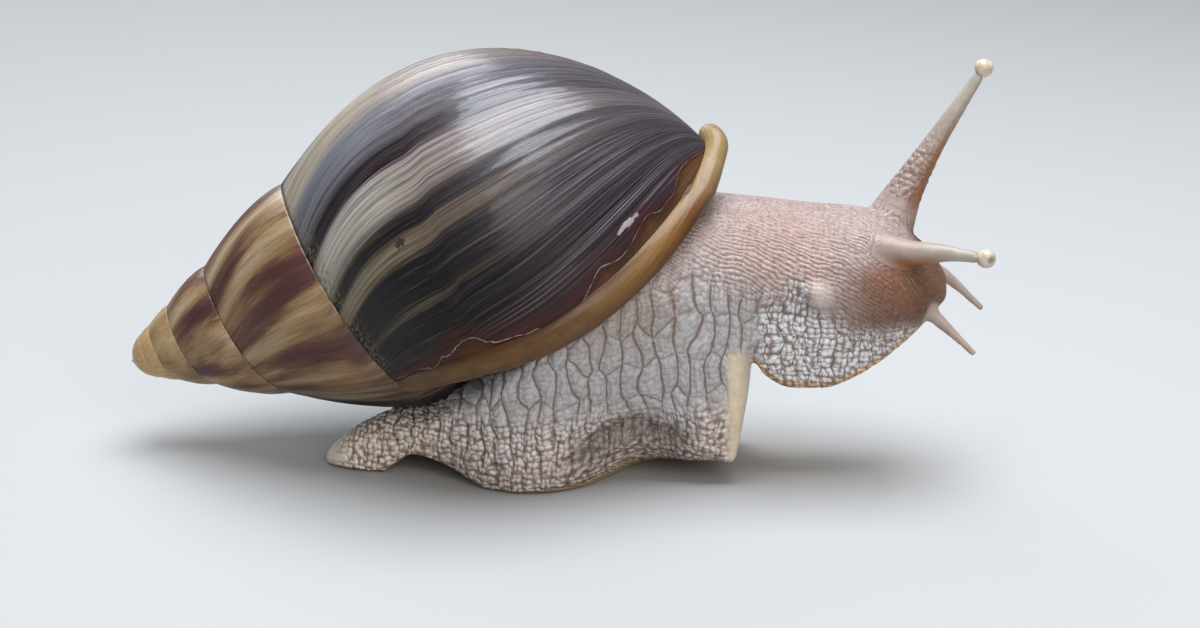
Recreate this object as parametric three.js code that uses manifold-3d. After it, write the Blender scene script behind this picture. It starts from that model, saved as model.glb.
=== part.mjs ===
// Giant African land snail, crawling with the front of its foot raised. Millimetres, +Z up.
// It faces +X, its right side is -Y, and the origin is the middle of its bounding box's floor.
import * as THREE from 'three';
import { LoftGeometry } from 'three/addons/geometries/LoftGeometry.js';
import { mergeVertices } from 'three/addons/utils/BufferGeometryUtils.js';
import Module from 'manifold-3d';

const wasm = await Module();
wasm.setup();

const DEG = Math.PI / 180;
const GAP = 0.3; // between neighbouring pieces
const { min, max, sin, cos, pow, exp } = Math;
const { lerp, clamp, smoothstep } = THREE.MathUtils;

// ---------------------------------------------------------------- driving dimensions

// The snail is drawn with X = 0 under the lip of its shell, then moved to the origin.
const TO_ORIGIN = new THREE.Vector3( 6.35, 2.02, 0 );

const SHELL_LENGTH = 87.5; // along the axis, from the apex to the base of the lip
const SHELL_TILT = 21.7 * DEG; // the axis rises towards the head
const APEX = new THREE.Vector3( - 65.9, 0, 12.1 );
const WHORL_RATIO = 2.05; // each whorl is this much taller than the one before it
const SUTURE_AT_LIP = 38.6; // distance from the apex, along the axis
const FIRST_SUTURE = 1; // where the spiral starts, below the tip
const SPIRE_SLOPE = 0.465; // radius gained along the spire, per millimetre
const APEX_RADIUS = 2.1;
const TIP_RADIUS = 2.35;
const LIP_SWELL = 7.4; // how far the last whorl swells out past the spire's cone
const WIDEST_AT_LIP = 54.8; // distance from the apex
const BASE_RISE = 28.4; // how far the base draws back over one turn
const AXIS_HOLE = 0.05;
const LIP_ANGLE = 20 * DEG; // of the lip's middle, round the axis from the snail's right

const LIP_HALF_WIDTH = 2.5; // at its middle
const LIP_BASE_HALF_WIDTH = 1.6;
const LIP_HALF_THICKNESS = 0.8;
const COLLAR_RADIUS = 1.7;

const NOSE = 47.2; // the front of the snout
const EYE_RADIUS = 1.3;

// ---------------------------------------------------------------- helpers

// A solid for joining and cutting, from a closed three.js geometry.
function solid( geometry ) {

	const bare = new THREE.BufferGeometry();
	bare.setAttribute( 'position', geometry.getAttribute( 'position' ) );
	bare.setIndex( geometry.index );
	const merged = mergeVertices( bare, 1e-4 );
	return new wasm.Manifold( new wasm.Mesh( {
		numProp: 3,
		vertProperties: new Float32Array( merged.attributes.position.array ),
		triVerts: new Uint32Array( merged.index.array )
	} ) );

}

// The largest body of a solid, as a geometry, without the crumbs that a cut can leave.
function geometryOf( manifold ) {

	const bodies = manifold.decompose().sort( ( a, b ) => b.volume() - a.volume() );
	const { vertProperties, triVerts } = bodies[ 0 ].getMesh();
	const geometry = new THREE.BufferGeometry();
	geometry.setAttribute( 'position', new THREE.BufferAttribute( vertProperties, 3 ) );
	geometry.setIndex( new THREE.BufferAttribute( triVerts, 1 ) );
	geometry.computeVertexNormals();
	return geometry;

}

const loft = ( sections ) => solid( new LoftGeometry( sections, { capStart: true, capEnd: true } ) );

const join = ( ...solids ) => solids.reduce( ( whole, piece ) => whole.add( piece ) ).simplify( 0.02 );

const range = ( from, to, steps ) =>
	Array.from( { length: steps + 1 }, ( _, i ) => lerp( from, to, i / steps ) );

// A rail is one measure of the body, known at a few places along X and joined by a cubic that
// never overshoots them.
function rail( ...knots ) {

	const rise = ( i, k ) => knots[ i + 1 ][ k ] - knots[ i ][ k ];
	const slope = ( i ) => rise( i, 1 ) / rise( i, 0 );
	const tangents = knots.map( ( _, i ) => {

		if ( i === 0 ) return slope( 0 );
		if ( i === knots.length - 1 ) return slope( i - 1 );
		const [ before, after ] = [ slope( i - 1 ), slope( i ) ];
		return before * after > 0 ? 2 * before * after / ( before + after ) : 0;

	} );

	return ( x ) => {

		let i = 0;
		while ( i < knots.length - 2 && x > knots[ i + 1 ][ 0 ] ) i ++;
		const [ [ x0, v0 ], [ x1, v1 ] ] = [ knots[ i ], knots[ i + 1 ] ];
		const h = x1 - x0;
		const t = clamp( ( x - x0 ) / h, 0, 1 );
		const early = tangents[ i ] * h - v1 + v0, late = v1 - v0 - tangents[ i + 1 ] * h;
		return lerp( v0, v1, t ) + t * ( 1 - t ) * lerp( early, late, t );

	};

}

// ---------------------------------------------------------------- shell

const AXIS = new THREE.Vector3( cos( SHELL_TILT ), 0, sin( SHELL_TILT ) );
const SIDE = new THREE.Vector3( 0, - 1, 0 );
const DOWN = new THREE.Vector3( sin( SHELL_TILT ), 0, - cos( SHELL_TILT ) );

// A point by its distance along the axis, its distance from the axis and its angle round it:
// 0 on the snail's right, 90 degrees underneath. The shell grows towards larger angles.
function shellPoint( along, radius, angle ) {

	return APEX.clone()
		.addScaledVector( AXIS, along )
		.addScaledVector( SIDE, radius * cos( angle ) )
		.addScaledVector( DOWN, radius * sin( angle ) );

}

// The suture, by the number of turns back from the lip.
function suture( turn ) {

	const along = FIRST_SUTURE + ( SUTURE_AT_LIP - FIRST_SUTURE ) * pow( WHORL_RATIO, - turn );
	return { along, radius: SPIRE_SLOPE * along + APEX_RADIUS * ( 1 - exp( - along / 0.6 ) ) };

}

const base = ( turn ) => SHELL_LENGTH - BASE_RISE * turn ** 3;

// The angle of the lip, and of every growth line before it: nearly straight along the axis, and
// swept forward at the suture and back at the base.
function lipAngle( turn, along ) {

	const start = suture( turn ).along;
	const share = clamp( ( along - start ) / ( base( min( turn, 1 ) ) - start ), 0, 1 );
	return LIP_ANGLE + ( 20 * pow( 1 - share, 8 ) - 22 * pow( share, 6 ) ) * DEG;

}

// The suture of the next whorl, where a growth line runs into it.
function nextSuture( turn ) {

	const sweep = lipAngle( turn, suture( turn ).along ) - lipAngle( turn, suture( turn - 1 ).along );
	return suture( turn - 1 + sweep / ( 2 * Math.PI ) );

}

// Where the whorl is widest: on the spire that is the next suture, and the last whorl swells.
function widest( turn ) {

	if ( turn >= 1 ) return nextSuture( turn );
	const spire = nextSuture( 1 );
	return {
		along: lerp( WIDEST_AT_LIP, spire.along, turn ** 3 ),
		radius: lerp( suture( 0 ).radius + LIP_SWELL, spire.radius, turn )
	};

}

// From the suture (share 0) out to the widest place (share 1).
function shoulder( turn, share ) {

	const from = suture( turn ), to = widest( turn );
	const roundness = 2 - 0.4 * smoothstep( turn, 0.4, 1 ) - 0.25 * smoothstep( turn, 2.5, 4 );
	return {
		along: lerp( from.along, to.along, share ),
		radius: to.radius - ( to.radius - from.radius ) * pow( max( 0, 1 - share ), roundness )
	};

}

// From the widest place (share 0) in to the axis at the base (share 1).
function belly( turn, share ) {

	const from = widest( turn );
	const t = sin( share * Math.PI / 2 );
	return {
		along: lerp( from.along, base( turn ), t ),
		radius: max( AXIS_HOLE, from.radius * pow( 1 - t * t, 0.75 ) )
	};

}

const onShell = ( turn, { along, radius } ) =>
	shellPoint( along, radius, lipAngle( turn, along ) - 2 * Math.PI * turn );

// One length of whorl as a solid wedge that reaches the axis, with a gap left below it. The last
// whorl is whole: its wedge runs on down to the base.
function whorl( fromTurn, toTurn, options ) {

	const { steps, gap = () => GAP, grown = 0, whole = false, shoulderPoints = 5 } = options;
	const sections = range( fromTurn, toTurn, steps ).map( ( turn ) => {

		const from = suture( turn ), to = widest( turn );
		const last = whole ? 1 : 1 - gap( turn ) / ( to.along - from.along );
		const outline = range( 0, last, shoulderPoints ).map( ( share ) => shoulder( turn, share ) );
		const shares = range( 0, 1, 9 ).slice( 1 );
		if ( whole ) outline.push( ...shares.map( ( share ) => belly( turn, share ) ) );
		else outline.push( { along: outline.at( - 1 ).along - 3 * gap( turn ), radius: AXIS_HOLE } );
		outline.push( { along: from.along, radius: AXIS_HOLE } );
		for ( const place of outline ) if ( place.radius > AXIS_HOLE ) place.radius += grown;
		for ( const place of outline ) if ( place.along > to.along ) place.along += grown;
		return outline.map( ( place ) => onShell( turn, place ) );

	} );

	return loft( sections );

}

// Clear of the whorl before it by a sliver at the growth line where the two meet.
const JOINT = 0.0035; // of a turn

function bodyWhorl( grown = 0 ) {

	const newer = whorl( grown ? - 2 * JOINT : 0, 19 / 36, { steps: 19, whole: true, grown } );
	const older = whorl( 18 / 36, 1 - JOINT, { steps: 18, whole: true, grown } );
	return join( newer, older );

}

function apex() {

	const tip = new THREE.SphereGeometry( TIP_RADIUS, 12, 8 );
	tip.translate( ...shellPoint( TIP_RADIUS, 0, 0 ).toArray() );
	const joined = ( turn ) => turn < 4.02 ? 1.2 * GAP : - 0.06;
	return join( solid( tip ),
		whorl( 3, 4, { steps: 16, gap: () => 1.2 * GAP, shoulderPoints: 3 } ),
		whorl( 3.95, 4.75, { steps: 9, gap: joined, shoulderPoints: 3 } ),
		whorl( 4.7, 5.1, { steps: 4, gap: joined, shoulderPoints: 3 } ) ).simplify( 0.12 );

}

// A rounded strip along the mouth of the shell, from the suture to the base: ahead is how far past
// the last growth line its middle lies, inset how far below the shell's surface.
function mouthStrip( options ) {

	const { ahead, inset, halfWidth, halfThickness, grown = 0, steps = 26, sides = 8, more = [] } = options;
	const edge = [
		...range( 0.02, 1, 6 ).map( ( share ) => shoulder( 0, share ) ),
		...range( 0, 0.9, 12 ).slice( 1 ).map( ( share ) => belly( 0, share ) )
	];
	const path = edge.map( ( place ) => {

		const angle = lipAngle( 0, place.along ) + ahead / max( place.radius, 8 );
		return { angle, centre: shellPoint( place.along, max( 0, place.radius - inset ), angle ) };

	} );
	const { angle } = path.at( - 1 );
	for ( const point of more ) path.push( { angle, centre: new THREE.Vector3( ...point ) } );
	const curve = new THREE.CatmullRomCurve3( path.map( ( place ) => place.centre ) );
	const sections = range( 0, 1, steps ).map( ( share ) => {

		const centre = curve.getPointAt( share );
		const along = curve.getTangentAt( share );
		const { angle } = path.reduce( ( near, place ) =>
			place.centre.distanceTo( centre ) < near.centre.distanceTo( centre ) ? place : near );
		const forward = SIDE.clone().multiplyScalar( - sin( angle ) ).addScaledVector( DOWN, cos( angle ) );
		forward.addScaledVector( along, - forward.dot( along ) ).normalize();
		const out = new THREE.Vector3().crossVectors( along, forward ).normalize();
		return range( 0, 2 * Math.PI, sides ).slice( 0, - 1 ).map( ( turn ) => centre.clone()
			.addScaledVector( forward, ( halfWidth( share ) + grown ) * cos( turn ) )
			.addScaledVector( out, ( halfThickness( share ) + grown ) * sin( turn ) ) );

	} );
	return loft( sections );

}

// The pale band that edges the mouth, thinning out at the suture.
const lip = ( grown = 0 ) => mouthStrip( {
	ahead: LIP_HALF_WIDTH, inset: 0.25, grown,
	halfWidth: rail( [ 0, 0.5 * LIP_HALF_WIDTH ], [ 0.12, LIP_HALF_WIDTH ], [ 0.5, LIP_HALF_WIDTH ],
		[ 0.9, LIP_BASE_HALF_WIDTH ] ),
	halfThickness: rail( [ 0, 0.55 * LIP_HALF_THICKNESS ], [ 0.12, LIP_HALF_THICKNESS ] )
} );

// The fleshy collar of the mantle just inside the lip. Past the base of the shell it turns down
// the left side, where the neck comes out.
const COLLAR_LEFT = [ [ 12.6, 5, 39.6 ], [ 8, 9.4, 34.5 ], [ 2.5, 11.8, 28.6 ], [ - 5, 13, 22 ],
	[ - 13, 12.6, 15.6 ] ];

const collarRadius = rail( [ 0, 0.7 * COLLAR_RADIUS ], [ 0.1, COLLAR_RADIUS ], [ 0.8, COLLAR_RADIUS ],
	[ 1, 0.6 * COLLAR_RADIUS ] );

const collar = ( grown = 0 ) => mouthStrip( {
	ahead: 3.2, inset: 2.9, grown, steps: 26, sides: 7, more: COLLAR_LEFT,
	halfWidth: collarRadius, halfThickness: collarRadius
} );

// ---------------------------------------------------------------- flesh

// The body is one loft of upright sections from the tip of the tail to the snout. Its rails run
// from one end to the other; "right" is the snail's right, at negative Y.
const crownZ = rail( [ - 37.6, 1.4 ], [ - 36, 3.2 ], [ - 33.5, 5.2 ], [ - 29, 7.4 ], [ - 24, 9.4 ],
	[ - 16, 16 ], [ - 6, 27 ],
	[ 4, 35.4 ], [ 11, 38.4 ], [ 20, 37.9 ], [ 28, 37.1 ], [ 35, 36.7 ], [ 39.5, 35.2 ], [ 43, 32.4 ],
	[ 45.8, 29.4 ], [ NOSE, 26.6 ] );
const spineY = rail( [ - 37.6, - 5.4 ], [ - 32, - 4.8 ], [ - 24, - 2.5 ], [ - 12, - 0.5 ], [ 0, 0 ] );

// The widest line of each flank.
const rightFlankY = rail( [ - 37.6, - 6.4 ], [ - 36, - 8 ], [ - 33, - 9 ], [ - 30, - 9.6 ],
	[ - 26, - 11.2 ], [ - 22, - 13.4 ],
	[ - 16, - 17 ], [ - 9, - 20.5 ], [ - 2, - 21 ], [ 4, - 19.5 ], [ 10, - 16.4 ], [ 16, - 13.4 ],
	[ 24, - 12.2 ],
	[ 32, - 11.6 ], [ 38, - 10.2 ], [ 43, - 8.4 ], [ 45.6, - 6 ], [ NOSE, - 3 ] );
const rightFlankZ = rail( [ - 37.6, 0.8 ], [ - 33, 2 ], [ - 30, 2.8 ], [ - 26, 5 ], [ - 22, 8 ],
	[ - 16, 12 ], [ - 9, 17 ],
	[ - 2, 22 ], [ 4, 25.5 ], [ 10, 27 ], [ 16, 26.6 ], [ 32, 27 ], [ NOSE, 25.6 ] );
const leftFlankY = rail( [ - 37.6, - 4.4 ], [ - 36, - 2.6 ], [ - 33, - 1 ], [ - 30, 0.6 ],
	[ - 26, 4 ], [ - 22, 7.4 ],
	[ - 16, 12 ], [ - 9, 15 ], [ - 2, 15.6 ], [ 4, 15 ], [ 10, 13.8 ], [ 16, 12.6 ], [ 24, 12 ],
	[ 32, 11.6 ], [ 38, 10.2 ], [ 43, 8.4 ], [ 45.6, 6 ], [ NOSE, 3 ] );
const leftFlankZ = rail( [ - 37.6, 0.8 ], [ - 33, 2 ], [ - 30, 2.8 ], [ - 26, 4 ], [ - 22, 5.6 ],
	[ - 16, 7.6 ], [ - 9, 10 ],
	[ - 2, 15 ], [ 4, 20 ], [ 10, 24 ], [ 16, 26 ], [ 32, 27 ], [ NOSE, 25.6 ] );

// The height of the sole: flat on the ground, arched in front of the tail, then up the raised
// front wall of the foot and forward under the head.
const raisedSole = [ [ 19.2, 3.2 ], [ 19.9, 6 ], [ 20.4, 10.5 ], [ 20.9, 16 ], [ 21.4, 17.6 ],
	[ 23.2, 15.6 ], [ 26.5, 14.1 ],
	[ 31, 14.3 ], [ 35, 15.9 ], [ 39, 18.6 ], [ 42.6, 21.6 ], [ 45.4, 24 ], [ NOSE, 25.4 ] ];
const rightSoleZ = rail( [ - 28.8, 0 ], [ - 27, 1.6 ], [ - 24.5, 3.1 ], [ - 20, 2.4 ],
	[ - 16, 0.7 ], [ - 14, 0 ], [ 12, 0 ], [ 14.5, 0.7 ],
	[ 17, 2.2 ], ...raisedSole );
const leftSoleZ = rail( [ - 28.8, 0 ], [ - 24, 1.2 ], [ - 16, 0 ], [ 12, 0 ], [ 14.5, 0.7 ],
	[ 17, 2.2 ], ...raisedSole );

// The edge of the sole, and the fringe of skin outside it. On the right the fringe leaves the
// ground as a hanging lobe, while the sole's edge runs in below it.
const rightSoleY = rail( [ - 37.6, - 6 ], [ - 36, - 7.4 ], [ - 33, - 8.6 ], [ - 29, - 9 ],
	[ - 23, - 10.8 ], [ - 18, - 12.8 ],
	[ - 13, - 14.8 ], [ - 9.5, - 15.8 ], [ - 6, - 15.4 ], [ - 1.5, - 12.8 ], [ 2, - 8 ], [ 5, - 2.6 ],
	[ 8, 0.2 ], [ 12, 1.4 ],
	[ 14.5, 0 ], [ 17, - 5 ], [ 19, - 8.6 ], [ 22, - 8.8 ], [ 30, - 8.6 ], [ 38, - 7.4 ],
	[ 43, - 5.8 ], [ NOSE, - 2 ] );
const rightFringeY = rail( [ - 37.6, - 6.3 ], [ - 36, - 7.9 ], [ - 33, - 9.2 ], [ - 29, - 9.6 ],
	[ - 23, - 11.4 ], [ - 18, - 13.5 ],
	[ - 13, - 15.5 ], [ - 9.5, - 16.5 ], [ - 6, - 16.4 ], [ - 2, - 15 ], [ 2, - 13.4 ], [ 8, - 12 ],
	[ 14, - 11.4 ], [ 19.4, - 10.2 ],
	[ 22, - 9.6 ], [ 30, - 9.4 ], [ 38, - 8.2 ], [ 43, - 6.6 ], [ NOSE, - 2.5 ] );
const rightFringeZ = ( x ) => rightSoleZ( x ) + rail( [ - 9.5, 0.6 ], [ - 6, 1.6 ], [ - 2, 4 ],
	[ 2, 6.8 ], [ 6, 8.4 ], [ 10, 7 ],
	[ 14, 4.8 ], [ 17, 2.4 ], [ 19.4, 0.7 ], [ 22, 0.6 ] )( x );
const leftSoleY = rail( [ - 37.6, - 4.8 ], [ - 36, - 3.2 ], [ - 33, - 1.4 ], [ - 29, 0.4 ],
	[ - 23, 6 ], [ - 16, 11.4 ], [ - 9, 14.6 ],
	[ - 2, 15.4 ], [ 6, 14.6 ], [ 12, 12.6 ], [ 19, 9.6 ], [ 22, 8.8 ], [ 30, 8.6 ], [ 38, 7.4 ],
	[ 43, 5.8 ], [ NOSE, 2 ] );
const leftFringeY = ( x ) => leftSoleY( x ) + rail( [ - 37.6, 0.3 ], [ - 33, 0.6 ], [ - 9, 0.8 ],
	[ 43, 0.8 ], [ NOSE, 0.5 ] )( x );
const leftFringeZ = ( x ) => leftSoleZ( x ) + 0.6;

// The head leans a little to the right.
const rollAt = rail( [ 20, 0 ], [ 30, 5 * DEG ], [ 40, 12 * DEG ], [ NOSE, 12 * DEG ] );
const ROLL_CENTRE_Z = 26;

// Half a section, from the crown down to the edge of the sole: an elliptical shoulder, a flank
// that hollows slightly above the fringe, and a tuck from the fringe in to the sole.
function halfSection( crown, flank, fringe, sole ) {

	const points = [];
	for ( const angle of range( 0, Math.PI / 2, 5 ).slice( 1 ) ) points.push( [
		crown[ 0 ] + ( flank[ 0 ] - crown[ 0 ] ) * sin( angle ),
		flank[ 1 ] + ( crown[ 1 ] - flank[ 1 ] ) * cos( angle )
	] );
	for ( const share of [ 0.3, 0.6, 0.85, 1 ] ) points.push( [
		lerp( flank[ 0 ], fringe[ 0 ], share ** 1.5 + 0.25 * share * ( 1 - share ) ),
		lerp( flank[ 1 ], fringe[ 1 ], share )
	] );
	points.push( [ lerp( fringe[ 0 ], sole[ 0 ], 0.72 ), lerp( fringe[ 1 ], sole[ 1 ], 0.45 ) ], sole );
	return points;

}

function bodySection( x ) {

	const crown = [ spineY( x ), crownZ( x ) ];
	const right = halfSection( crown, [ rightFlankY( x ), rightFlankZ( x ) ],
		[ rightFringeY( x ), rightFringeZ( x ) ], [ rightSoleY( x ), rightSoleZ( x ) ] );
	const left = halfSection( crown, [ leftFlankY( x ), leftFlankZ( x ) ],
		[ leftFringeY( x ), leftFringeZ( x ) ], [ leftSoleY( x ), leftSoleZ( x ) ] );
	const middle = [ 0.33, 0.67 ].map( ( share ) => [
		lerp( right.at( - 1 )[ 0 ], left.at( - 1 )[ 0 ], share ),
		lerp( right.at( - 1 )[ 1 ], left.at( - 1 )[ 1 ], share )
	] );
	const roll = rollAt( x );
	return [ crown, ...right, ...middle, ...left.reverse() ].map( ( [ y, z ] ) => new THREE.Vector3( x,
		y * cos( roll ) - ( z - ROLL_CENTRE_Z ) * sin( roll ),
		ROLL_CENTRE_Z + y * sin( roll ) + ( z - ROLL_CENTRE_Z ) * cos( roll ) ) );

}

// Sections stand closer together at both ends and at the raised wall of the foot.
const STATIONS = [
	...range( - 37.6, - 36, 3 ), ...range( - 34.5, 18, 26 ), ...range( 18.8, 22, 6 ),
	...range( 23.5, 44, 11 ), ...range( 45, NOSE, 4 )
];

const wholeBody = () => loft( STATIONS.map( bodySection ) );

// A round tapering feeler along a curve, with its radius given by a rail over its length.
function feeler( { path, radius }, { sides = 10, steps = 8, from = 0, to = 1, grown = 0 } = {} ) {

	const curve = new THREE.CatmullRomCurve3( path.map( ( p ) => new THREE.Vector3( ...p ) ) );
	const sideways = new THREE.Vector3( 0, 1, 0 );
	const sections = range( from, to, steps ).map( ( share ) => {

		const along = curve.getTangentAt( share );
		const up = new THREE.Vector3().crossVectors( along, sideways ).normalize();
		const across = new THREE.Vector3().crossVectors( along, up ).normalize();
		const centre = curve.getPointAt( share );
		return range( 0, 2 * Math.PI, sides ).slice( 0, - 1 ).map( ( turn ) => centre.clone()
			.addScaledVector( up, ( radius( share ) + grown ) * cos( turn ) )
			.addScaledVector( across, ( radius( share ) + grown ) * sin( turn ) ) );

	} );
	return loft( sections );

}

const FORWARD_RADIUS = rail( [ 0, 3 ], [ 0.2, 2.4 ], [ 0.41, 1.85 ], [ 0.68, 1.3 ], [ 0.87, 0.93 ],
	[ 1, 0.8 ] );
const RAISED_RADIUS = rail( [ 0, 3.6 ], [ 0.18, 2.8 ], [ 0.3, 2.3 ], [ 0.53, 1.6 ], [ 0.76, 1.15 ],
	[ 1, 0.78 ] );
const LOWER_RADIUS = rail( [ 0, 1.5 ], [ 0.3, 1 ], [ 0.8, 0.55 ], [ 1, 0.5 ] );

const feelers = {
	upper_tentacle_right: {
		path: [ [ 36, - 5, 32.6 ], [ 42, - 6.8, 32.5 ], [ 46.5, - 7.9, 32.9 ], [ 50.5, - 8.7, 32.7 ] ],
		radius: FORWARD_RADIUS
	},
	upper_tentacle_left: {
		path: [ [ 39, 3.2, 33.5 ], [ 40.9, 4.4, 37.6 ], [ 45, 6, 44.7 ], [ 50.5, 7.8, 53.4 ] ],
		radius: RAISED_RADIUS
	},
	lower_tentacle_right: {
		path: [ [ 43.4, - 5, 25.2 ], [ 46, - 5.7, 23.2 ], [ 51.1, - 7, 18.8 ] ],
		radius: LOWER_RADIUS
	},
	lower_tentacle_left: {
		path: [ [ 43.6, 3.4, 28.6 ], [ 47.6, 4.3, 26.1 ], [ 52.3, 5, 21.7 ] ],
		radius: LOWER_RADIUS
	}
};

// ---------------------------------------------------------------- pieces

const paint = ( color, roughness ) => new THREE.MeshStandardMaterial( { color, roughness, metalness: 0 } );
const SHELL_DARK = paint( 0x3a2a26, 0.4 );
const SHELL_TAN = paint( 0xb08a5a, 0.45 );
const LIP_TAN = paint( 0xc79a55, 0.35 );
const MANTLE = paint( 0x8a6a50, 0.45 );
const SKIN = paint( 0xc9b49c, 0.5 );
const PALE_SKIN = paint( 0xcdbcb0, 0.4 );

const snail = new THREE.Group();
snail.position.copy( TO_ORIGIN );

function add( name, body, material ) {

	const mesh = new THREE.Mesh( geometryOf( body ), material );
	mesh.name = name;
	snail.add( mesh );

}

const spireGap = () => 1.5 * GAP;
add( 'shell_apex', apex(), SHELL_TAN );
add( 'shell_spire_whorl',
	whorl( 2 + JOINT, 3 - JOINT, { steps: 24, gap: spireGap, shoulderPoints: 4 } ), SHELL_TAN );
add( 'shell_penultimate_whorl', whorl( 1 + JOINT, 2 - JOINT, { steps: 30, gap: spireGap } ), SHELL_TAN );
add( 'shell_body_whorl', bodyWhorl(), SHELL_DARK );

const mouthward = SIDE.clone().multiplyScalar( - sin( LIP_ANGLE ) ).addScaledVector( DOWN, cos( LIP_ANGLE ) );
const shellRoom = bodyWhorl( GAP ).add( bodyWhorl().translate( mouthward.multiplyScalar( GAP ).toArray() ) )
	.simplify( 0.04 );
add( 'shell_lip', lip().subtract( shellRoom ).simplify( 0.06 ), LIP_TAN );

const lipRoom = lip( GAP );
add( 'mantle_collar', collar().subtract( shellRoom ).subtract( lipRoom ).simplify( 0.1 ), MANTLE );

const feelerRoom = Object.values( feelers ).map( ( each ) => feeler( each, { grown: GAP } ) );
const flesh = [ shellRoom, lipRoom, collar( GAP ), ...feelerRoom ]
	.reduce( ( whole, room ) => whole.subtract( room ), wholeBody() ).simplify( 0.1 );

// The flesh is parted by planes through a point at y = 0; each leans by an angle from upright,
// its top towards the tail.
const CUTS = [
	[ 'tail', - 26, 6, 0 ],
	[ 'foot_middle', 3, 20, 0 ],
	[ 'foot_front', 21.2, 17.4, 28 ],
	[ 'neck', 33, 25, 8 ],
	[ 'head', 42.8, 27, 0 ],
	[ 'snout' ]
];

function beyond( [ , x, z, lean ], side ) {

	const normal = [ cos( lean * DEG ), 0, sin( lean * DEG ) ];
	const offset = normal[ 0 ] * x + normal[ 2 ] * z;
	return ( body ) => body.trimByPlane( normal.map( ( n ) => side * n ), side * offset + GAP / 2 );

}

CUTS.forEach( ( cut, i ) => {

	let body = flesh;
	if ( i > 0 ) body = beyond( CUTS[ i - 1 ], 1 )( body );
	if ( i < CUTS.length - 1 ) body = beyond( cut, - 1 )( body );
	add( cut[ 0 ], body, SKIN );

} );

for ( const [ name, each ] of Object.entries( feelers ) ) {

	if ( ! name.startsWith( 'upper' ) ) {

		add( name, feeler( each ), PALE_SKIN );
		continue;

	}

	const length = 16; // of the shorter one, roughly
	const middle = 0.5, half = GAP / 2 / length;
	add( `${ name }_base`, feeler( each, { to: middle - half, steps: 6 } ), PALE_SKIN );
	add( `${ name }_tip`, feeler( each, { from: middle + half, steps: 5 } ), PALE_SKIN );
	const [ before, tip ] = each.path.slice( - 2 ).map( ( point ) => new THREE.Vector3( ...point ) );
	const centre = tip.clone().addScaledVector( tip.clone().sub( before ).normalize(), EYE_RADIUS + GAP );
	const eye = new THREE.SphereGeometry( EYE_RADIUS, 12, 8 );
	eye.translate( ...centre.toArray() );
	add( name.replace( 'upper_tentacle', 'eye' ), solid( eye ), PALE_SKIN );

}

export default snail;
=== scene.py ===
# %% [markdown]
# # A giant African land snail, as a museum model
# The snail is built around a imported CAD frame: a tall spiral shell, a thick pale lip round its mouth, one
# continuous skin and two eyes. The frame is loaded first, and every later size is in its millimetres.

# %% Load the frame
import bmesh
import bpy
import numpy as np
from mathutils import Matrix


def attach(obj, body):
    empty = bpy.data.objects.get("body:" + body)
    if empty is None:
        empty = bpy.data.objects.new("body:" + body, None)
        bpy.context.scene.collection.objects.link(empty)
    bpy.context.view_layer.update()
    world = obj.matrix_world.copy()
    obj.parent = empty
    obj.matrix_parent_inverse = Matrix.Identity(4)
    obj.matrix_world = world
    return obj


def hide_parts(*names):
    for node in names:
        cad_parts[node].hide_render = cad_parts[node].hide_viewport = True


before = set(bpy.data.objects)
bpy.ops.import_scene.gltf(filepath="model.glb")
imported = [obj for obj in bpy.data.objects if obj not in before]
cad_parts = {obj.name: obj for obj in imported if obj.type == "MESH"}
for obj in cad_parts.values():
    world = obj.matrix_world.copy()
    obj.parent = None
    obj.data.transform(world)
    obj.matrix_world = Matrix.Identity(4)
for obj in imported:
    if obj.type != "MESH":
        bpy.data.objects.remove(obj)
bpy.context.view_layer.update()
print("CAD nodes:", len(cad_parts))

# %% [markdown]
# The forms below are drawn with X = 0 under the lip of the shell, as the CAD source draws them, and one
# shift brings them to the frame's origin. Working in millimetres keeps the numbers readable; the last step
# of each piece divides by a thousand.

# %% Sizes and small helpers
TO_ORIGIN = np.array([6.35, 2.02, 0.0])
DEG = np.pi / 180


def to_frame(points):
    """Metres in the frame = (drawn millimetres + shift) / 1000."""
    return (points + TO_ORIGIN) / 1000


def smoothstep(x, low, high):
    """3t² - 2t³, where t runs from 0 at low to 1 at high."""
    t = np.clip((x - low) / (high - low), 0, 1)
    return t * t * (3 - 2 * t)


def rail(*knots):
    """A cubic through the knots that never overshoots: each slope is the harmonic mean of its neighbours'."""
    x, v = np.array(knots, float).T
    chord = np.diff(v) / np.diff(x)
    slope = np.concatenate([chord[:1], np.zeros(len(x) - 2), chord[-1:]])
    same = chord[:-1] * chord[1:] > 0
    slope[1:-1][same] = 2 * (chord[:-1] * chord[1:])[same] / (chord[:-1] + chord[1:])[same]

    def value(at):
        at = np.asarray(at, float)
        i = np.clip(np.searchsorted(x, at, side="right") - 1, 0, len(x) - 2)
        h = x[i + 1] - x[i]
        t = np.clip((at - x[i]) / h, 0, 1)
        bend = t * (1 - t) * ((1 - t) * (slope[i] * h - v[i + 1] + v[i]) + t * (v[i + 1] - v[i] - slope[i + 1] * h))
        return v[i] + (v[i + 1] - v[i]) * t + bend
    return value


def grid_faces(rows, columns, wrap=False):
    """Quads of a grid of points; with wrap the last column joins the first."""
    j = np.arange(columns if wrap else columns - 1)
    i = np.arange(rows - 1)[:, None]
    k = (j + 1) % columns
    return np.stack([i * columns + j, i * columns + k, (i + 1) * columns + k, (i + 1) * columns + j], -1).reshape(-1, 4)


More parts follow.
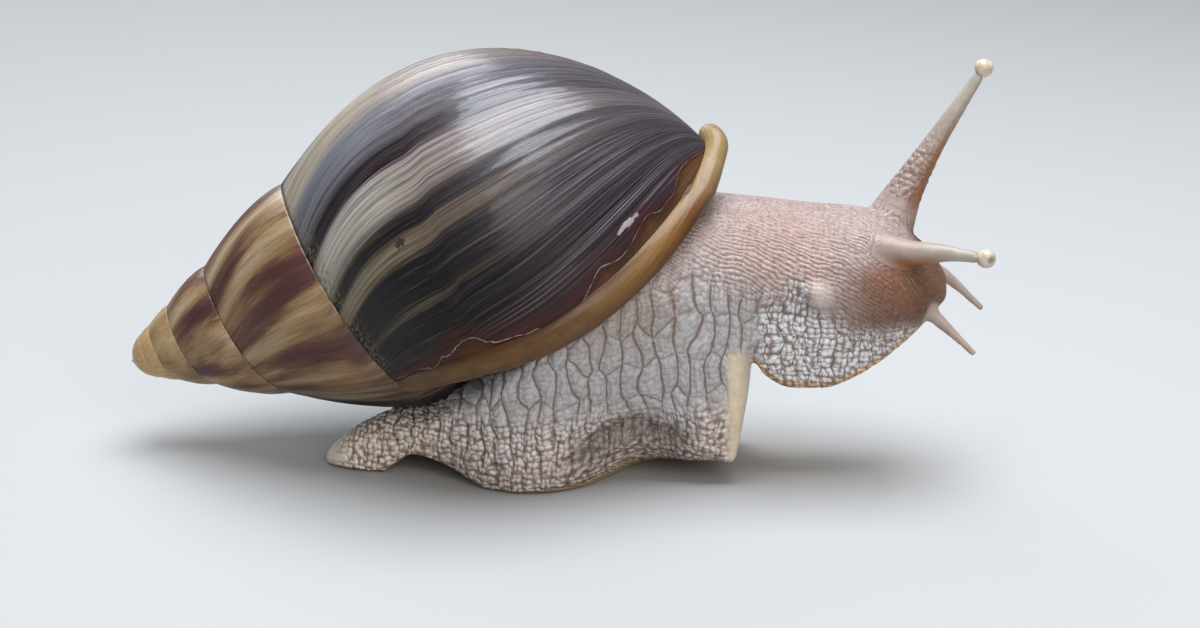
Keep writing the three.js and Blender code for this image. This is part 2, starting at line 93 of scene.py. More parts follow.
def make_piece(name, points, faces, smooth=True):
    """A mesh object from points in drawn millimetres and a list of faces."""
    mesh = bpy.data.meshes.new(name)
    mesh.from_pydata(to_frame(points).tolist(), [], [list(face) for face in faces])
    mesh.validate()
    mesh.polygons.foreach_set("use_smooth", np.full(len(mesh.polygons), smooth))
    piece = bpy.data.objects.new(name, mesh)
    bpy.context.scene.collection.objects.link(piece)
    print(f"{name}: {len(mesh.vertices)} points, {len(mesh.polygons)} faces")
    return piece


def store(piece, name, values):
    """Keeps one number or one vector for each point of the mesh, for materials to read."""
    values = np.asarray(values, np.float32)
    kind, key = ("FLOAT", "value") if values.ndim == 1 else ("FLOAT_VECTOR", "vector")
    layer = piece.data.attributes.new(name, kind, "POINT")
    layer.data.foreach_set(key, values.ravel())


# %% [markdown]
# The camera looks at the snail's right side, a little from the front and from 16 degrees above. A long lens
# 400 mm away keeps the shell's proportions. Its place comes from an azimuth and an elevation, so the same two
# numbers give its rotation, with nothing left to fit by hand.

# %% Camera
AZIMUTH, ELEVATION, DISTANCE, AIM_HEIGHT = 6 * DEG, 16 * DEG, 400.0, 20.9
back = np.array([np.sin(AZIMUTH) * np.cos(ELEVATION), -np.cos(AZIMUTH) * np.cos(ELEVATION), np.sin(ELEVATION)])
lens = bpy.data.cameras.new("camera")
lens.sensor_width, lens.lens = 36.0, 36.0 * DISTANCE / 165.0
lens.clip_start, lens.clip_end = 0.01, 20.0
camera = bpy.data.objects.new("camera", lens)
camera.location = to_frame(np.array([0, 0, AIM_HEIGHT]) + DISTANCE * back)
camera.rotation_euler = (np.pi / 2 - ELEVATION, 0, AZIMUTH)
bpy.context.scene.collection.objects.link(camera)
bpy.context.scene.camera = camera
print("lens", round(lens.lens, 2), "mm")

# %% [markdown]
# Soft studio light: a pale floor, an even pale world and three broad lights. The highest one is long and
# overhead, because a polished shell shows its light as one broad sheen along the top.

# %% Floor, world and lights
floor_mesh = bpy.data.meshes.new("floor")
floor_mesh.from_pydata([(-4, -4, -0.0001), (4, -4, -0.0001), (4, 4, -0.0001), (-4, 4, -0.0001)], [], [(0, 1, 2, 3)])
floor = bpy.data.objects.new("floor", floor_mesh)
bpy.context.scene.collection.objects.link(floor)
floor_paint = bpy.data.materials.new("pale floor")
floor_paint.use_nodes = True
floor_paint.node_tree.nodes["Principled BSDF"].inputs["Base Color"].default_value = (0.41, 0.407, 0.40, 1)
floor_paint.node_tree.nodes["Principled BSDF"].inputs["Roughness"].default_value = 0.85
floor_mesh.materials.append(floor_paint)

world = bpy.data.worlds.new("studio")
world.use_nodes = True
world.node_tree.nodes["Background"].inputs["Color"].default_value = (0.86, 0.92, 1.0, 1)
world.node_tree.nodes["Background"].inputs["Strength"].default_value = 0.31
bpy.context.scene.world = world
bpy.context.scene.view_settings.view_transform = "Standard"


def area_light(name, place, aim, size, watts, colour):
    """A rectangular soft light at one point, turned towards another."""
    light = bpy.data.lights.new(name, "AREA")
    light.shape, light.size, light.size_y = "RECTANGLE", *size
    light.energy, light.color = watts, colour
    lamp = bpy.data.objects.new(name, light)
    lamp.location = place
    towards = np.array(aim) - np.array(place)
    lamp.rotation_euler = (np.arccos(-towards[2] / np.linalg.norm(towards)), 0, np.arctan2(towards[1], towards[0]) - np.pi / 2)
    bpy.context.scene.collection.objects.link(lamp)


area_light("overhead", (0.03, 0.0, 0.50), (0.0, 0, 0.02), (0.50, 0.34), 4.7, (0.88, 0.93, 1.0))
area_light("front", (0.30, -0.60, 0.35), (0, 0, 0.02), (0.45, 0.45), 2.4, (1.0, 0.97, 0.93))
area_light("rim", (-0.30, 0.50, 0.40), (0, 0, 0.03), (0.40, 0.40), 1.4, (0.92, 0.96, 1.0))

# %% [markdown]
# ## The shell
# A snail's shell is one tube that coils round an axis and grows by the same ratio at each turn. It could be a
# sculpted cone with grooves. Here it is worked out from its growth instead: a profile from the suture out to
# the widest place and on to the base is carried round the axis, and its sizes shrink by a power of the turn.
# Turn 0 is the lip, and every growth line is then simply a line of equal turn, which the material needs.

# %% The spiral and its profile
SHELL_LENGTH, SHELL_TILT, APEX = 87.5, 21.7 * DEG, np.array([-65.9, 0.0, 12.1])
WHORL_RATIO, SUTURE_AT_LIP, FIRST_SUTURE = 2.05, 38.6, 1.0
SPIRE_SLOPE, APEX_RADIUS = 0.465, 2.1
LIP_SWELL, WIDEST_AT_LIP, BASE_RISE = 7.4, 54.8, 28.4
SHELL_AXIS = np.array([np.cos(SHELL_TILT), 0, np.sin(SHELL_TILT)])
SIDE = np.array([0.0, -1.0, 0.0])
DOWN = np.array([np.sin(SHELL_TILT), 0, -np.cos(SHELL_TILT)])


def on_shell(along, radius, angle):
    """Cylinder coordinates about the shell's axis: angle 0 is the snail's right, 90 degrees is underneath."""
    along, radius, angle = np.broadcast_arrays(along, radius, angle)
    return (APEX + along[..., None] * SHELL_AXIS + (radius * np.cos(angle))[..., None] * SIDE
            + (radius * np.sin(angle))[..., None] * DOWN)


def suture(turn):
    """Distance along the axis falls by the whorl ratio each turn, and past the third turn all the way to
    nothing; the radius follows the spire's slope and closes in a small dome at the tip."""
    turn = np.asarray(turn, float)
    along = (FIRST_SUTURE * (1 - smoothstep(turn, 3.6, 6.5))
             + (SUTURE_AT_LIP - FIRST_SUTURE) * WHORL_RATIO ** -turn)
    return along, SPIRE_SLOPE * along + APEX_RADIUS * (1 - np.exp(-along / 0.6))


def base(turn):
    """The base draws back with the cube of the turn, over the last whorl."""
    return SHELL_LENGTH - BASE_RISE * np.minimum(turn, 1) ** 3


def lip_angle(turn, along):
    """20 degrees, and up to 20 more towards the suture and 22 less towards the base."""
    start = suture(turn)[0]
    share = np.clip((along - start) / (base(turn) - start), 0, 1)
    return (20 + 20 * (1 - share) ** 8 - 22 * share ** 6) * DEG


def next_suture(turn):
    """The newer whorl's suture, where this growth line runs into it."""
    sweep = lip_angle(turn, suture(turn)[0]) - lip_angle(turn, suture(turn - 1)[0])
    return suture(turn - 1 + sweep / (2 * np.pi))


def widest(turn):
    """On the spire the next suture; over the last whorl the radius and the place swell towards the lip."""
    turn = np.asarray(turn, float)
    spire, swollen = next_suture(np.ones_like(turn)), suture(0)[1] + LIP_SWELL
    old = next_suture(turn)
    return (np.where(turn < 1, WIDEST_AT_LIP + (spire[0] - WIDEST_AT_LIP) * turn ** 3, old[0]),
            np.where(turn < 1, swollen + (spire[1] - swollen) * turn, old[1]))


def profile(turn, across):
    """Across 0 to 1 is a round shoulder from suture to widest, 1 to 2 a belly (1 - t²)^0.75 to the base."""
    start, wide = suture(turn), widest(turn)
    up, t = np.clip(across, 0, 1), np.sin(np.clip(across - 1, 0, 1) * np.pi / 2)
    roundness = 2 - 0.4 * smoothstep(turn, 0.4, 1) - 0.25 * smoothstep(turn, 2.5, 4)
    along = np.where(across <= 1, start[0] + (wide[0] - start[0]) * up, wide[0] + (base(turn) - wide[0]) * t)
    radius = np.where(across <= 1, wide[1] - (wide[1] - start[1]) * (1 - up) ** roundness, wide[1] * (1 - t * t) ** 0.75)
    return along, radius


print("spire sutures at", [round(float(suture(t)[0]), 1) for t in range(5)], "mm from the apex")

# %% [markdown]
# Past the first turn the belly is hidden in the newer whorl, so there the profile runs straight in to the
# axis. Two numbers are kept at every point for the material: the growth coordinate, which is the turn bent
# the way the growth lines bend towards the base, and the distance walked along the whorl in millimetres.
# The growth lines are also raised a little, as fine ridges of uneven height, and just behind the lip the
# dark outer layer has chipped away along a ragged edge, where the surface steps down to the amber layer.

# %% The shell's surface
GROWTH_BEND = rail((0, 0), (0.85, 0), (1.1, 0.011), (1.3, 0.032), (1.5, 0.065), (1.6, 0.092), (1.7, 0.14), (1.8, 0.24), (2, 0.5))
CHIPPED_EDGE = rail((0, 0.012), (0.1, 0.0105), (0.54, 0.0064), (0.81, 0.0135), (0.94, 0.010), (1.06, 0), (1.19, -0.0085),
                    (1.26, -0.006), (1.33, 0.009), (1.38, 0.001), (1.44, 0.0064), (1.51, 0.0134), (1.56, 0.0015),
                    (1.62, 0.003), (1.66, 0.018), (1.72, 0.033), (1.85, 0.038), (2, 0.038))
UNDER_LIP, CHIP_DEPTH, WALL = -0.018, 0.2, 0.9
turns = np.concatenate([np.linspace(UNDER_LIP, 0.06, 64), np.linspace(0.06, 1.1, 360)[1:],
                        np.linspace(1.1, 2.1, 160)[1:], np.linspace(2.1, 9, 260)[1:]])
across = np.concatenate([np.linspace(0, 1, 46), np.linspace(1, 2, 58)[1:]])


def whorl_noise(x, seed, octaves=4):
    """Smooth value noise along one line: random heights at whole numbers, joined by smoothstep, in octaves."""
    heights = np.random.default_rng(seed).uniform(-1, 1, 4096)
    total = np.zeros_like(x)
    for octave in range(octaves):
        place = x * 2 ** octave + 17 * octave
        i = np.floor(place).astype(int)
        t = place - i
        t = t * t * (3 - 2 * t)
        total += (heights[i % 4096] * (1 - t) + heights[(i + 1) % 4096] * t) / 1.6 ** octave
    return total


middle_radius = widest(np.maximum((turns[1:] + turns[:-1]) / 2, 0))[1]
walked = np.concatenate([[0], np.cumsum(2 * np.pi * middle_radius * np.diff(turns))])
T, V = np.meshgrid(turns, across)
grown = np.maximum(T, 0)
along, radius = profile(grown, V)
growth = np.where(T > 0, T * T / np.maximum(T + GROWTH_BEND(V) * smoothstep(1.15 - T, 0, 0.1), 1e-9), T)
walked_at = np.interp(growth, turns, walked)
scale = np.clip(radius / 20, 0.1, 1)
ridges = (whorl_noise(walked_at * 1.3, 3) + 0.6 * whorl_noise(walked_at * 0.35, 4)) * 0.10 * scale
ridges *= smoothstep(4.2 - T, 0, 1.5) * smoothstep(T, 0, 0.01)
ragged = 0.0022 * whorl_noise(V * 16, 5, 4)
beyond_chip = (T - CHIPPED_EDGE(V) - ragged) * 2 * np.pi * widest(0)[1]
radius = radius + (ridges - CHIP_DEPTH * smoothstep(-beyond_chip, -0.15, 0.25)) * (radius > 0.5)
hidden = smoothstep(T, 1.0, 1.08) * (V > 1)
wall_along, wall_radius = widest(grown)
along = along + (wall_along - 0.5 * (V - 1) - along) * hidden
radius = radius + (wall_radius * (2 - V) - radius) * hidden
shell_points = on_shell(along, np.maximum(radius, 0.02), lip_angle(grown, along) - 2 * np.pi * T)


def spot(turn, across, long, wide):
    """A soft spot on the last whorl, exp(-r²), with its half sizes in millimetres."""
    reach = (2 * np.pi * widest(0)[1] * (T - turn) / long) ** 2 + (27 * (V - across) / wide) ** 2
    return np.exp(-reach * np.clip(1 + 200 * ragged, 0.4, 2))


white = np.maximum(spot(0.025, 1.45, 0.8, 1.3), 0.55 * spot(0.026, 1.36, 0.16, 2.4))
marks = np.stack([beyond_chip, white, spot(0.106, 0.68, 0.8, 1.3)])
print("shell relief up to", round(float(np.abs(ridges).max()), 2), "mm")

# %% [markdown]
# The grid becomes a closed skin. Its two long sides are joined along the axis. Behind the lip the wall has a
# real thickness: the first row is repeated a little smaller, then once more deeper inside, before the end
# is closed, so the mouth is a hollow and not a flat plate.

# %% Build the shell
mouth = []
for inset, depth in ((WALL + 1.5, 0.045), (WALL, 0.03), (WALL, UNDER_LIP + 0.001)):
    rim_along, rim_radius = profile(np.full_like(across, max(depth, 0)), across)
    rim_radius = np.maximum(rim_radius - inset, 0.02)
    mouth.append(on_shell(rim_along, rim_radius, lip_angle(0.0 * across, rim_along) - 2 * np.pi * depth))
inner = np.stack(mouth, 1)
shell_grid = np.concatenate([inner, shell_points], 1)
growth_grid = np.concatenate([np.full(inner.shape[:2], -0.02), growth], 1)
walked_grid = np.concatenate([np.full(inner.shape[:2], -2.0), walked_at], 1)
across_grid = np.concatenate([np.repeat(V[:, :1], 3, 1), V], 1)
marks_grid = np.concatenate([np.broadcast_to([[[-5.0]], [[0]], [[0]]], (3, *inner.shape[:2])), marks], 2)
rows, columns = shell_grid.shape[:2]
ring = grid_faces(columns, rows, wrap=True)
start_cap, end_cap = np.arange(rows)[::-1], (columns - 1) * rows + np.arange(rows)
shell = make_piece("shell", shell_grid.transpose(1, 0, 2).reshape(-1, 3), [*ring, start_cap, end_cap])
store(shell, "growth", np.stack([growth_grid.T.ravel(), across_grid.T.ravel(), walked_grid.T.ravel()], 1))
store(shell, "marks", marks_grid.transpose(2, 1, 0).reshape(-1, 3))
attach(shell, "root")
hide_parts("shell_body_whorl", "shell_penultimate_whorl", "shell_spire_whorl", "shell_apex")


def outward(piece):
    """Six times the enclosed volume is the sum of each face's corner products; below zero it is inside out."""
    mesh = piece.data
    mesh.calc_loop_triangles()
    corners = np.empty(len(mesh.loop_triangles) * 3, int)
    mesh.loop_triangles.foreach_get("vertices", corners)
    points = np.empty(len(mesh.vertices) * 3)
    mesh.vertices.foreach_get("co", points)
    a, b, c = points.reshape(-1, 3)[corners.reshape(-1, 3)].transpose(1, 0, 2)
    volume = np.einsum("ij,ij->", a, np.cross(b, c)) / 6
    if volume < 0:
        mesh.flip_normals()
    print(f"{piece.name}: {abs(volume) * 1e6:.1f} cm³, {len(mesh.loop_triangles)} triangles")


outward(shell)

# %% [markdown]
# ### Material building blocks
# Both the shell and the skin are procedural: colours come from noise and cells, read from coordinates that
# were stored on the points. A few short helpers keep the node trees readable. Each adds one node, fills its
# sockets and returns an output, so a pattern reads like a formula.

# %% Node helpers
class Nodes:
    """Adds nodes to one tree, left to right, and links sockets given as values or as outputs."""

    def __init__(self, tree):
        self.tree = tree

    def add(self, kind, inputs=(), output=0, **settings):
        node = self.tree.nodes.new(kind)
        for key, value in settings.items():
            setattr(node, key, value)
        for key, value in (inputs.items() if isinstance(inputs, dict) else enumerate(inputs)):
            socket = node.inputs[key]
            if isinstance(value, bpy.types.NodeSocket):
                self.tree.links.new(value, socket)
            else:
                socket.default_value = value
        return node.outputs[output] if node.outputs else None

    def math(self, operation, *values, clamp=False):
        return self.add("ShaderNodeMath", values, operation=operation, use_clamp=clamp)

    def step(self, value, low, high):
        """A smooth 0 to 1 between two values."""
        return self.add("ShaderNodeMapRange", {"Value": value, "From Min": low, "From Max": high},
                        interpolation_type="SMOOTHSTEP")

    def vector(self, x, y, z=0.0):
        return self.add("ShaderNodeCombineXYZ", (x, y, z))

    def across(self, operation, *values, output=0):
        """Arithmetic on whole vectors; output 1 is a plain number, such as a length."""
        return self.add("ShaderNodeVectorMath", values, output=output, operation=operation)

    def read(self, name):
        """A vector that was stored on the points, in a material or in a modifier."""
        if self.tree.bl_idname == "ShaderNodeTree":
            return self.add("ShaderNodeAttribute", attribute_name=name, output="Vector")
        return self.add("GeometryNodeInputNamedAttribute", {"Name": name}, "Attribute", data_type="FLOAT_VECTOR")

    def split(self, vector):
        return tuple(self.add("ShaderNodeSeparateXYZ", (vector,)).node.outputs)

    def noise(self, vector, scale, detail=2.0, rough=0.5):
        return self.add("ShaderNodeTexNoise", {"Vector": vector, "Scale": scale, "Detail": detail, "Roughness": rough})

    def mix(self, factor, a, b, blend="MIX"):
        """Mixes two colours."""
        return self.add("ShaderNodeMix", {0: factor, 6: a, 7: b}, output=2, data_type="RGBA", blend_type=blend)

    def ramp(self, factor, *stops):
        """A colour ramp through (place, colour) stops."""
        output = self.add("ShaderNodeValToRGB", (factor,))
        elements = output.node.color_ramp.elements
        for place, colour in stops[2:]:
            elements.new(place)
        for element, (place, colour) in zip(elements, stops):
            element.position, element.color = place, (*colour, 1)
        return output


def new_material(name):
    """A material with its shader node and its tree helper."""
    material = bpy.data.materials.new(name)
    material.use_nodes = True
    return material, material.node_tree.nodes["Principled BSDF"], Nodes(material.node_tree)


# %% [markdown]
# ### Shell material
# The colour of a shell is laid down at the lip, so every streak is a growth line. The ramp below goes back in
# turns from the lip: red-brown, near black, a faint olive streak, black, a grey-olive stripe, black, a broad
# cream stripe, and then blue-grey and cream in turn. The reading place is pushed about by noise that is
# stretched along the growth lines, which frays each stripe. On the spire the ground is tan with red-brown
# flames that fade at the apex.

# %% Shell colours
BLACK, DARK, PLUM = (0.007, 0.006, 0.006), (0.017, 0.012, 0.012), (0.026, 0.012, 0.017)
RUST, OLIVE, CREAM, GREY = (0.045, 0.014, 0.008), (0.21, 0.18, 0.125), (0.38, 0.36, 0.30), (0.15, 0.145, 0.16)
shell_paint, surface, n = new_material("shell")
g, v, mm = n.split(n.read("growth"))[:3]
from_chip, white_chip, blot = n.split(n.read("marks"))[:3]


slide = n.math("MULTIPLY", n.noise(n.vector(n.math("MULTIPLY", mm, 0.9), 0.0, 7.0), 1.0, 2.0, 0.6), 7.0)


def streaked(n, along, across, seed, detail=4.0):
    """Noise that runs on along the growth lines: many changes per millimetre of growth, few across. Each
    streak slides by its own amount, so that streaks don't all change at one place."""
    down = n.math("MULTIPLY_ADD", v, across, slide)
    return n.noise(n.vector(n.math("MULTIPLY", mm, along), down, seed), 1.0, detail, 0.6)


def scattered(value, amount):
    """The value of a noise about nought, times an amount."""
    return n.math("MULTIPLY", n.math("SUBTRACT", value, 0.5), amount)


frayed, fine, hair = streaked(n, 1.6, 1.7, 0.0, 3.0), streaked(n, 2.2, 1.4, 5.0), streaked(n, 4.2, 1.6, 15.0, 3.0)
blotch, wave = streaked(n, 0.22, 4.0, 9.0), streaked(n, 0.10, 0.9, 31.0, 1.0)
read = n.math("ADD", g, n.math("ADD", scattered(frayed, 0.016), scattered(wave, 0.003)))
STRIPES = ((0.0, (0.045, 0.017, 0.012)), (0.012, (0.026, 0.012, 0.010)), (0.022, BLACK), (0.051, BLACK), (0.055, (0.085, 0.07, 0.038)),
           (0.059, BLACK), (0.090, BLACK), (0.0955, (0.14, 0.11, 0.06)), (0.103, OLIVE), (0.109, (0.12, 0.095, 0.055)), (0.113, BLACK),
           (0.122, DARK), (0.129, (0.20, 0.18, 0.15)), (0.137, (0.34, 0.31, 0.26)), (0.156, CREAM), (0.165, (0.34, 0.31, 0.28)),
           (0.171, PLUM), (0.186, DARK), (0.194, (0.10, 0.095, 0.105)), (0.210, GREY), (0.232, (0.13, 0.135, 0.165)),
           (0.248, (0.29, 0.25, 0.20)), (0.285, (0.36, 0.30, 0.22)), (0.318, (0.30, 0.27, 0.24)), (0.345, (0.10, 0.085, 0.08)),
           (0.370, OLIVE), (0.385, BLACK), (0.400, BLACK))
stripes = n.ramp(n.math("MULTIPLY", read, 2.5), *((2.5 * place, tone) for place, tone in STRIPES))
flame = n.noise(n.vector(n.math("MULTIPLY", mm, 0.16), n.math("MULTIPLY", v, 0.5), 3.0), 1.0, 3.0, 0.55)
old = n.ramp(n.math("ADD", flame, scattered(frayed, 0.35)), (0.38, BLACK), (0.46, DARK), (0.51, (0.10, 0.06, 0.035)),
             (0.56, OLIVE), (0.63, (0.27, 0.21, 0.14)), (0.72, CREAM))
whorl = n.mix(n.step(read, 0.37, 0.41), stripes, old)
belly_tone = n.ramp(n.math("ADD", n.math("MULTIPLY", fine, 0.65), n.math("MULTIPLY", frayed, 0.35)),
                    (0.38, BLACK), (0.46, (0.022, 0.013, 0.018)), (0.505, (0.050, 0.034, 0.045)), (0.54, (0.020, 0.013, 0.017)),
                    (0.60, (0.075, 0.055, 0.070)), (0.65, (0.17, 0.15, 0.17)))
to_belly = n.math("MULTIPLY", n.step(n.math("ADD", v, scattered(frayed, 0.8)), 0.8, 1.55), n.step(g, 0.60, 0.45))
whorl = n.mix(n.math("MULTIPLY", n.step(v, 0.5, 0.95), n.step(g, 0.6, 0.45)), whorl, n.mix(1.0, whorl, (0.66, 0.58, 0.60, 1), "MULTIPLY"))
belly = n.mix(n.math("MULTIPLY", to_belly, 0.82), whorl, belly_tone)
spire_flame = n.noise(n.vector(n.math("MULTIPLY", mm, 0.17), n.math("MULTIPLY", v, 0.55), 21.0), 1.0, 2.5, 0.5)
spire = n.ramp(n.math("ADD", spire_flame, scattered(blotch, 0.28)),
               (0.36, (0.070, 0.026, 0.024)), (0.44, (0.12, 0.054, 0.030)), (0.49, (0.20, 0.115, 0.055)), (0.56, (0.29, 0.185, 0.090)),
               (0.68, (0.40, 0.31, 0.20)))
spire = n.mix(n.step(g, 2.4, 4.2), spire, (0.44, 0.29, 0.13, 1))
colour = n.mix(n.step(read, 0.90, 1.0), belly, spire)
print("stripes:", len(STRIPES), "tones")

# %% [markdown]
# On top of the streaks lie the marks of age: thin scratched lines that show a pale layer, crumbs of crust
# along the suture, one dark blot, and the amber layer past the chipped edge, with a pale broken line where
# the dark layer ends. The gloss is a coat that fades towards the suture, where the shell is dry and dull.

# %% Shell wear and gloss
scratch = n.math("MULTIPLY", n.step(hair, 0.575, 0.64), n.math("MULTIPLY_ADD", n.step(v, 0.8, 1.2), 0.26, 0.12))
colour = n.mix(n.math("MULTIPLY", scratch, n.step(g, 1.0, 0.85)), colour, (0.24, 0.215, 0.24, 1))
lines = n.ramp(fine, (0.34, (0.42, 0.40, 0.40)), (0.50, (1.0, 1.0, 1.0)), (0.66, (1.4, 1.36, 1.36)))
even = n.math("MULTIPLY", n.step(g, 0.85, 1.0), 0.65)
colour = n.mix(n.math("SUBTRACT", 1.0, even), colour, n.mix(1.0, colour, lines, "MULTIPLY"))
crumbs = n.noise(n.vector(n.math("MULTIPLY", mm, 1.6), n.math("MULTIPLY", v, 42.0), 44.0), 1.0, 3.0, 0.6)
crust = n.math("MULTIPLY", n.math("MULTIPLY", n.step(v, 0.16, 0.02), n.step(g, 0.30, 0.15)), n.step(crumbs, 0.47, 0.60))
colour = n.mix(n.math("MULTIPLY", crust, 0.8), colour, (0.20, 0.16, 0.085, 1))
colour = n.mix(n.math("MULTIPLY", n.step(n.math("ADD", blot, scattered(crumbs, 1.2)), 0.42, 0.72), 0.85), colour, (0.030, 0.010, 0.010, 1))
rusty = n.math("MULTIPLY", n.step(from_chip, 4.2, 0.6), n.step(frayed, 0.38, 0.54))
colour = n.mix(n.math("MULTIPLY", rusty, 0.85), colour, (0.048, 0.011, 0.008, 1))
amber = n.ramp(n.math("ADD", n.math("MULTIPLY", from_chip, -0.25), scattered(crumbs, 0.6)),
               (0.0, (0.030, 0.011, 0.006)), (0.4, (0.062, 0.021, 0.008)), (0.9, (0.10, 0.044, 0.014)))
colour = n.mix(n.step(from_chip, 0.15, -0.15), colour, amber)
ragged_edge = n.math("ADD", n.math("ABSOLUTE", from_chip), scattered(crumbs, 0.5))
thin_line = n.math("MULTIPLY", n.step(ragged_edge, 0.16, 0.02), n.step(blotch, 0.40, 0.52))
colour = n.mix(n.math("MULTIPLY", thin_line, 0.8), colour, (0.40, 0.345, 0.28, 1))
colour = n.mix(n.math("MULTIPLY", n.step(n.math("ADD", white_chip, scattered(crumbs, 1.6)), 0.52, 0.74), 0.8), colour, (0.46, 0.41, 0.42, 1))
base_edge = n.math("MULTIPLY", n.step(v, 1.90, 1.96), n.step(g, 1.0, 0.9))
colour = n.mix(base_edge, colour, n.ramp(fine, (0.35, (0.20, 0.10, 0.040)), (0.65, (0.46, 0.33, 0.17))))
n.tree.links.new(colour, surface.inputs["Base Color"])
rough = n.add("ShaderNodeMapRange", {"Value": blotch, "From Min": 0.3, "From Max": 0.7, "To Min": 0.32, "To Max": 0.40})
n.tree.links.new(rough, surface.inputs["Roughness"])
surface.inputs["Specular IOR Level"].default_value = 0.20
surface.inputs["Coat Roughness"].default_value = 0.20
shiny = n.math("MULTIPLY", n.step(v, 0.65, 1.15), n.math("MULTIPLY", n.step(g, 0.035, 0.12), n.step(hair, 0.70, 0.44)))
gloss = n.math("MULTIPLY_ADD", shiny, 0.95, 0.04)
n.tree.links.new(gloss, surface.inputs["Coat Weight"])
height = n.math("ADD", n.math("MULTIPLY", fine, 0.9), n.math("ADD", n.math("MULTIPLY", hair, 0.6), n.math("MULTIPLY", crust, 0.6)))
bump = n.add("ShaderNodeBump", {"Strength": 0.7, "Distance": 0.00028, "Height": height})
n.tree.links.new(bump, surface.inputs["Normal"])
shell.data.materials.append(shell_paint)
print("shell material:", len(shell_paint.node_tree.nodes), "nodes")

# %% [markdown]
# ### The lip
# A grown snail thickens the edge of its shell into a smooth pale band. It is a rounded bead carried along the
# mouth: the path follows the last growth line a little past it, and the profile is an oval that is wider along
# the shell than across it. A bead that is carried along a path keeps its width where the path bends, and how
# far it reaches past the last growth line is a rail. At its upper end it turns in over the shell's tip.

# %% Lip
LIP_AHEAD = rail((0, 0.5), (0.2, 0.7), (0.6, 1.5), (0.96, 2.0), (1.15, 3.0), (1.5, 3.1), (2, 3.3))
LIP_TIP = [(15.6, -0.7, 44.9), (15.0, 0.9, 46.1), (13.8, 2.8, 46.5)]


def mouth_path(ahead, inset, steps, until=1.9):
    """Points along the mouth from suture to base, with the direction that is forward, past the edge."""
    at = np.concatenate([np.linspace(0.02, 1, 60), np.linspace(1, until, 90)[1:]])
    along, radius = profile(np.zeros_like(at), at)
    angle = lip_angle(0.0 * at, along) + ahead(at) / np.maximum(radius, 8)
    points = on_shell(along, np.maximum(radius - inset, 0), angle)
    length = np.concatenate([[0], np.cumsum(np.linalg.norm(np.diff(points, axis=0), axis=1))])
    even = np.linspace(0, length[-1], steps)
    points = np.stack([np.interp(even, length, points[:, k]) for k in range(3)], 1)
    angle = np.interp(even, length, angle)[:, None]
    return points, -np.sin(angle) * SIDE + np.cos(angle) * DOWN


def smooth_curve(points, steps):
    """A Catmull-Rom curve: cubic pieces whose slope at a point joins its two neighbours."""
    p = np.asarray(points, float)
    p = np.concatenate([2 * p[:1] - p[1:2], p, 2 * p[-1:] - p[-2:-1]])
    at = np.linspace(0, len(p) - 3 - 1e-9, steps * 8)
    i, t = at.astype(int), (at % 1)[:, None]
    a, b, c, d = p[i], p[i + 1], p[i + 2], p[i + 3]
    line = 0.5 * (2 * b + (c - a) * t + (2 * a - 5 * b + 4 * c - d) * t ** 2 + (3 * b - a - 3 * c + d) * t ** 3)
    length = np.concatenate([[0], np.cumsum(np.linalg.norm(np.diff(line, axis=0), axis=1))])
    even = np.linspace(0, length[-1], steps)
    return np.stack([np.interp(even, length, line[:, k]) for k in range(3)], 1)


def carry(path, forward, half_width, half_thickness, sides):
    """A closed strip: an oval round each point of a path, wide along forward and thin across it."""
    tangent = np.gradient(path, axis=0)
    tangent /= np.linalg.norm(tangent, axis=1, keepdims=True)
    forward = forward - (forward * tangent).sum(1, keepdims=True) * tangent
    forward /= np.linalg.norm(forward, axis=1, keepdims=True)
    out = np.cross(tangent, forward)
    turn = np.linspace(0, 2 * np.pi, sides, endpoint=False)
    return (path[:, None] + (half_width[:, None] * np.cos(turn))[..., None] * forward[:, None]
            + (half_thickness[:, None] * np.sin(turn))[..., None] * out[:, None])


def closed_tube(name, rings):
    """Rings of points joined in order, with a fan of corners closing both ends."""
    count, sides = rings.shape[:2]
    faces = [*grid_faces(count, sides, wrap=True), np.arange(sides)[::-1], (count - 1) * sides + np.arange(sides)]
    return make_piece(name, rings.reshape(-1, 3), faces)


mouth_line, mouth_forward = mouth_path(LIP_AHEAD, 0.6, 60, 1.84)
path = smooth_curve([*mouth_line, *LIP_TIP], 280)
share = np.linspace(0, 1, len(path))
forward = smooth_curve([*mouth_forward, *[SHELL_AXIS] * len(LIP_TIP)], 280)
uneven = 1 + 0.04 * whorl_noise(share * 14, 8, 2)
width = rail((0, 1.3), (0.15, 1.8), (0.35, 2.3), (0.6, 2.6), (0.85, 2.5), (0.93, 2.0), (1, 1.2))(share) * uneven
thickness = rail((0, 0.8), (0.15, 1.2), (0.4, 1.5), (0.8, 1.6), (0.93, 1.5), (1, 1.0))(share) * uneven
rings = carry(path, forward, width, thickness, 40)
ends = 1 - (1 - np.clip(np.minimum(share, 1 - share) / 0.02, 0, 1)) ** 2
rings = path[:, None] + (rings - path[:, None]) * np.maximum(ends, 0.05)[:, None, None] ** 0.5
lip = closed_tube("lip", rings)
turn_at = np.broadcast_to(np.cos(np.linspace(0, 2 * np.pi, 40, endpoint=False)), (len(path), 40))
store(lip, "band", np.stack([np.broadcast_to(share[:, None] * 70, turn_at.shape).ravel(), turn_at.ravel() * 2.5, 0 * turn_at.ravel()], 1))
outward(lip)
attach(lip, "root")
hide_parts("shell_lip")

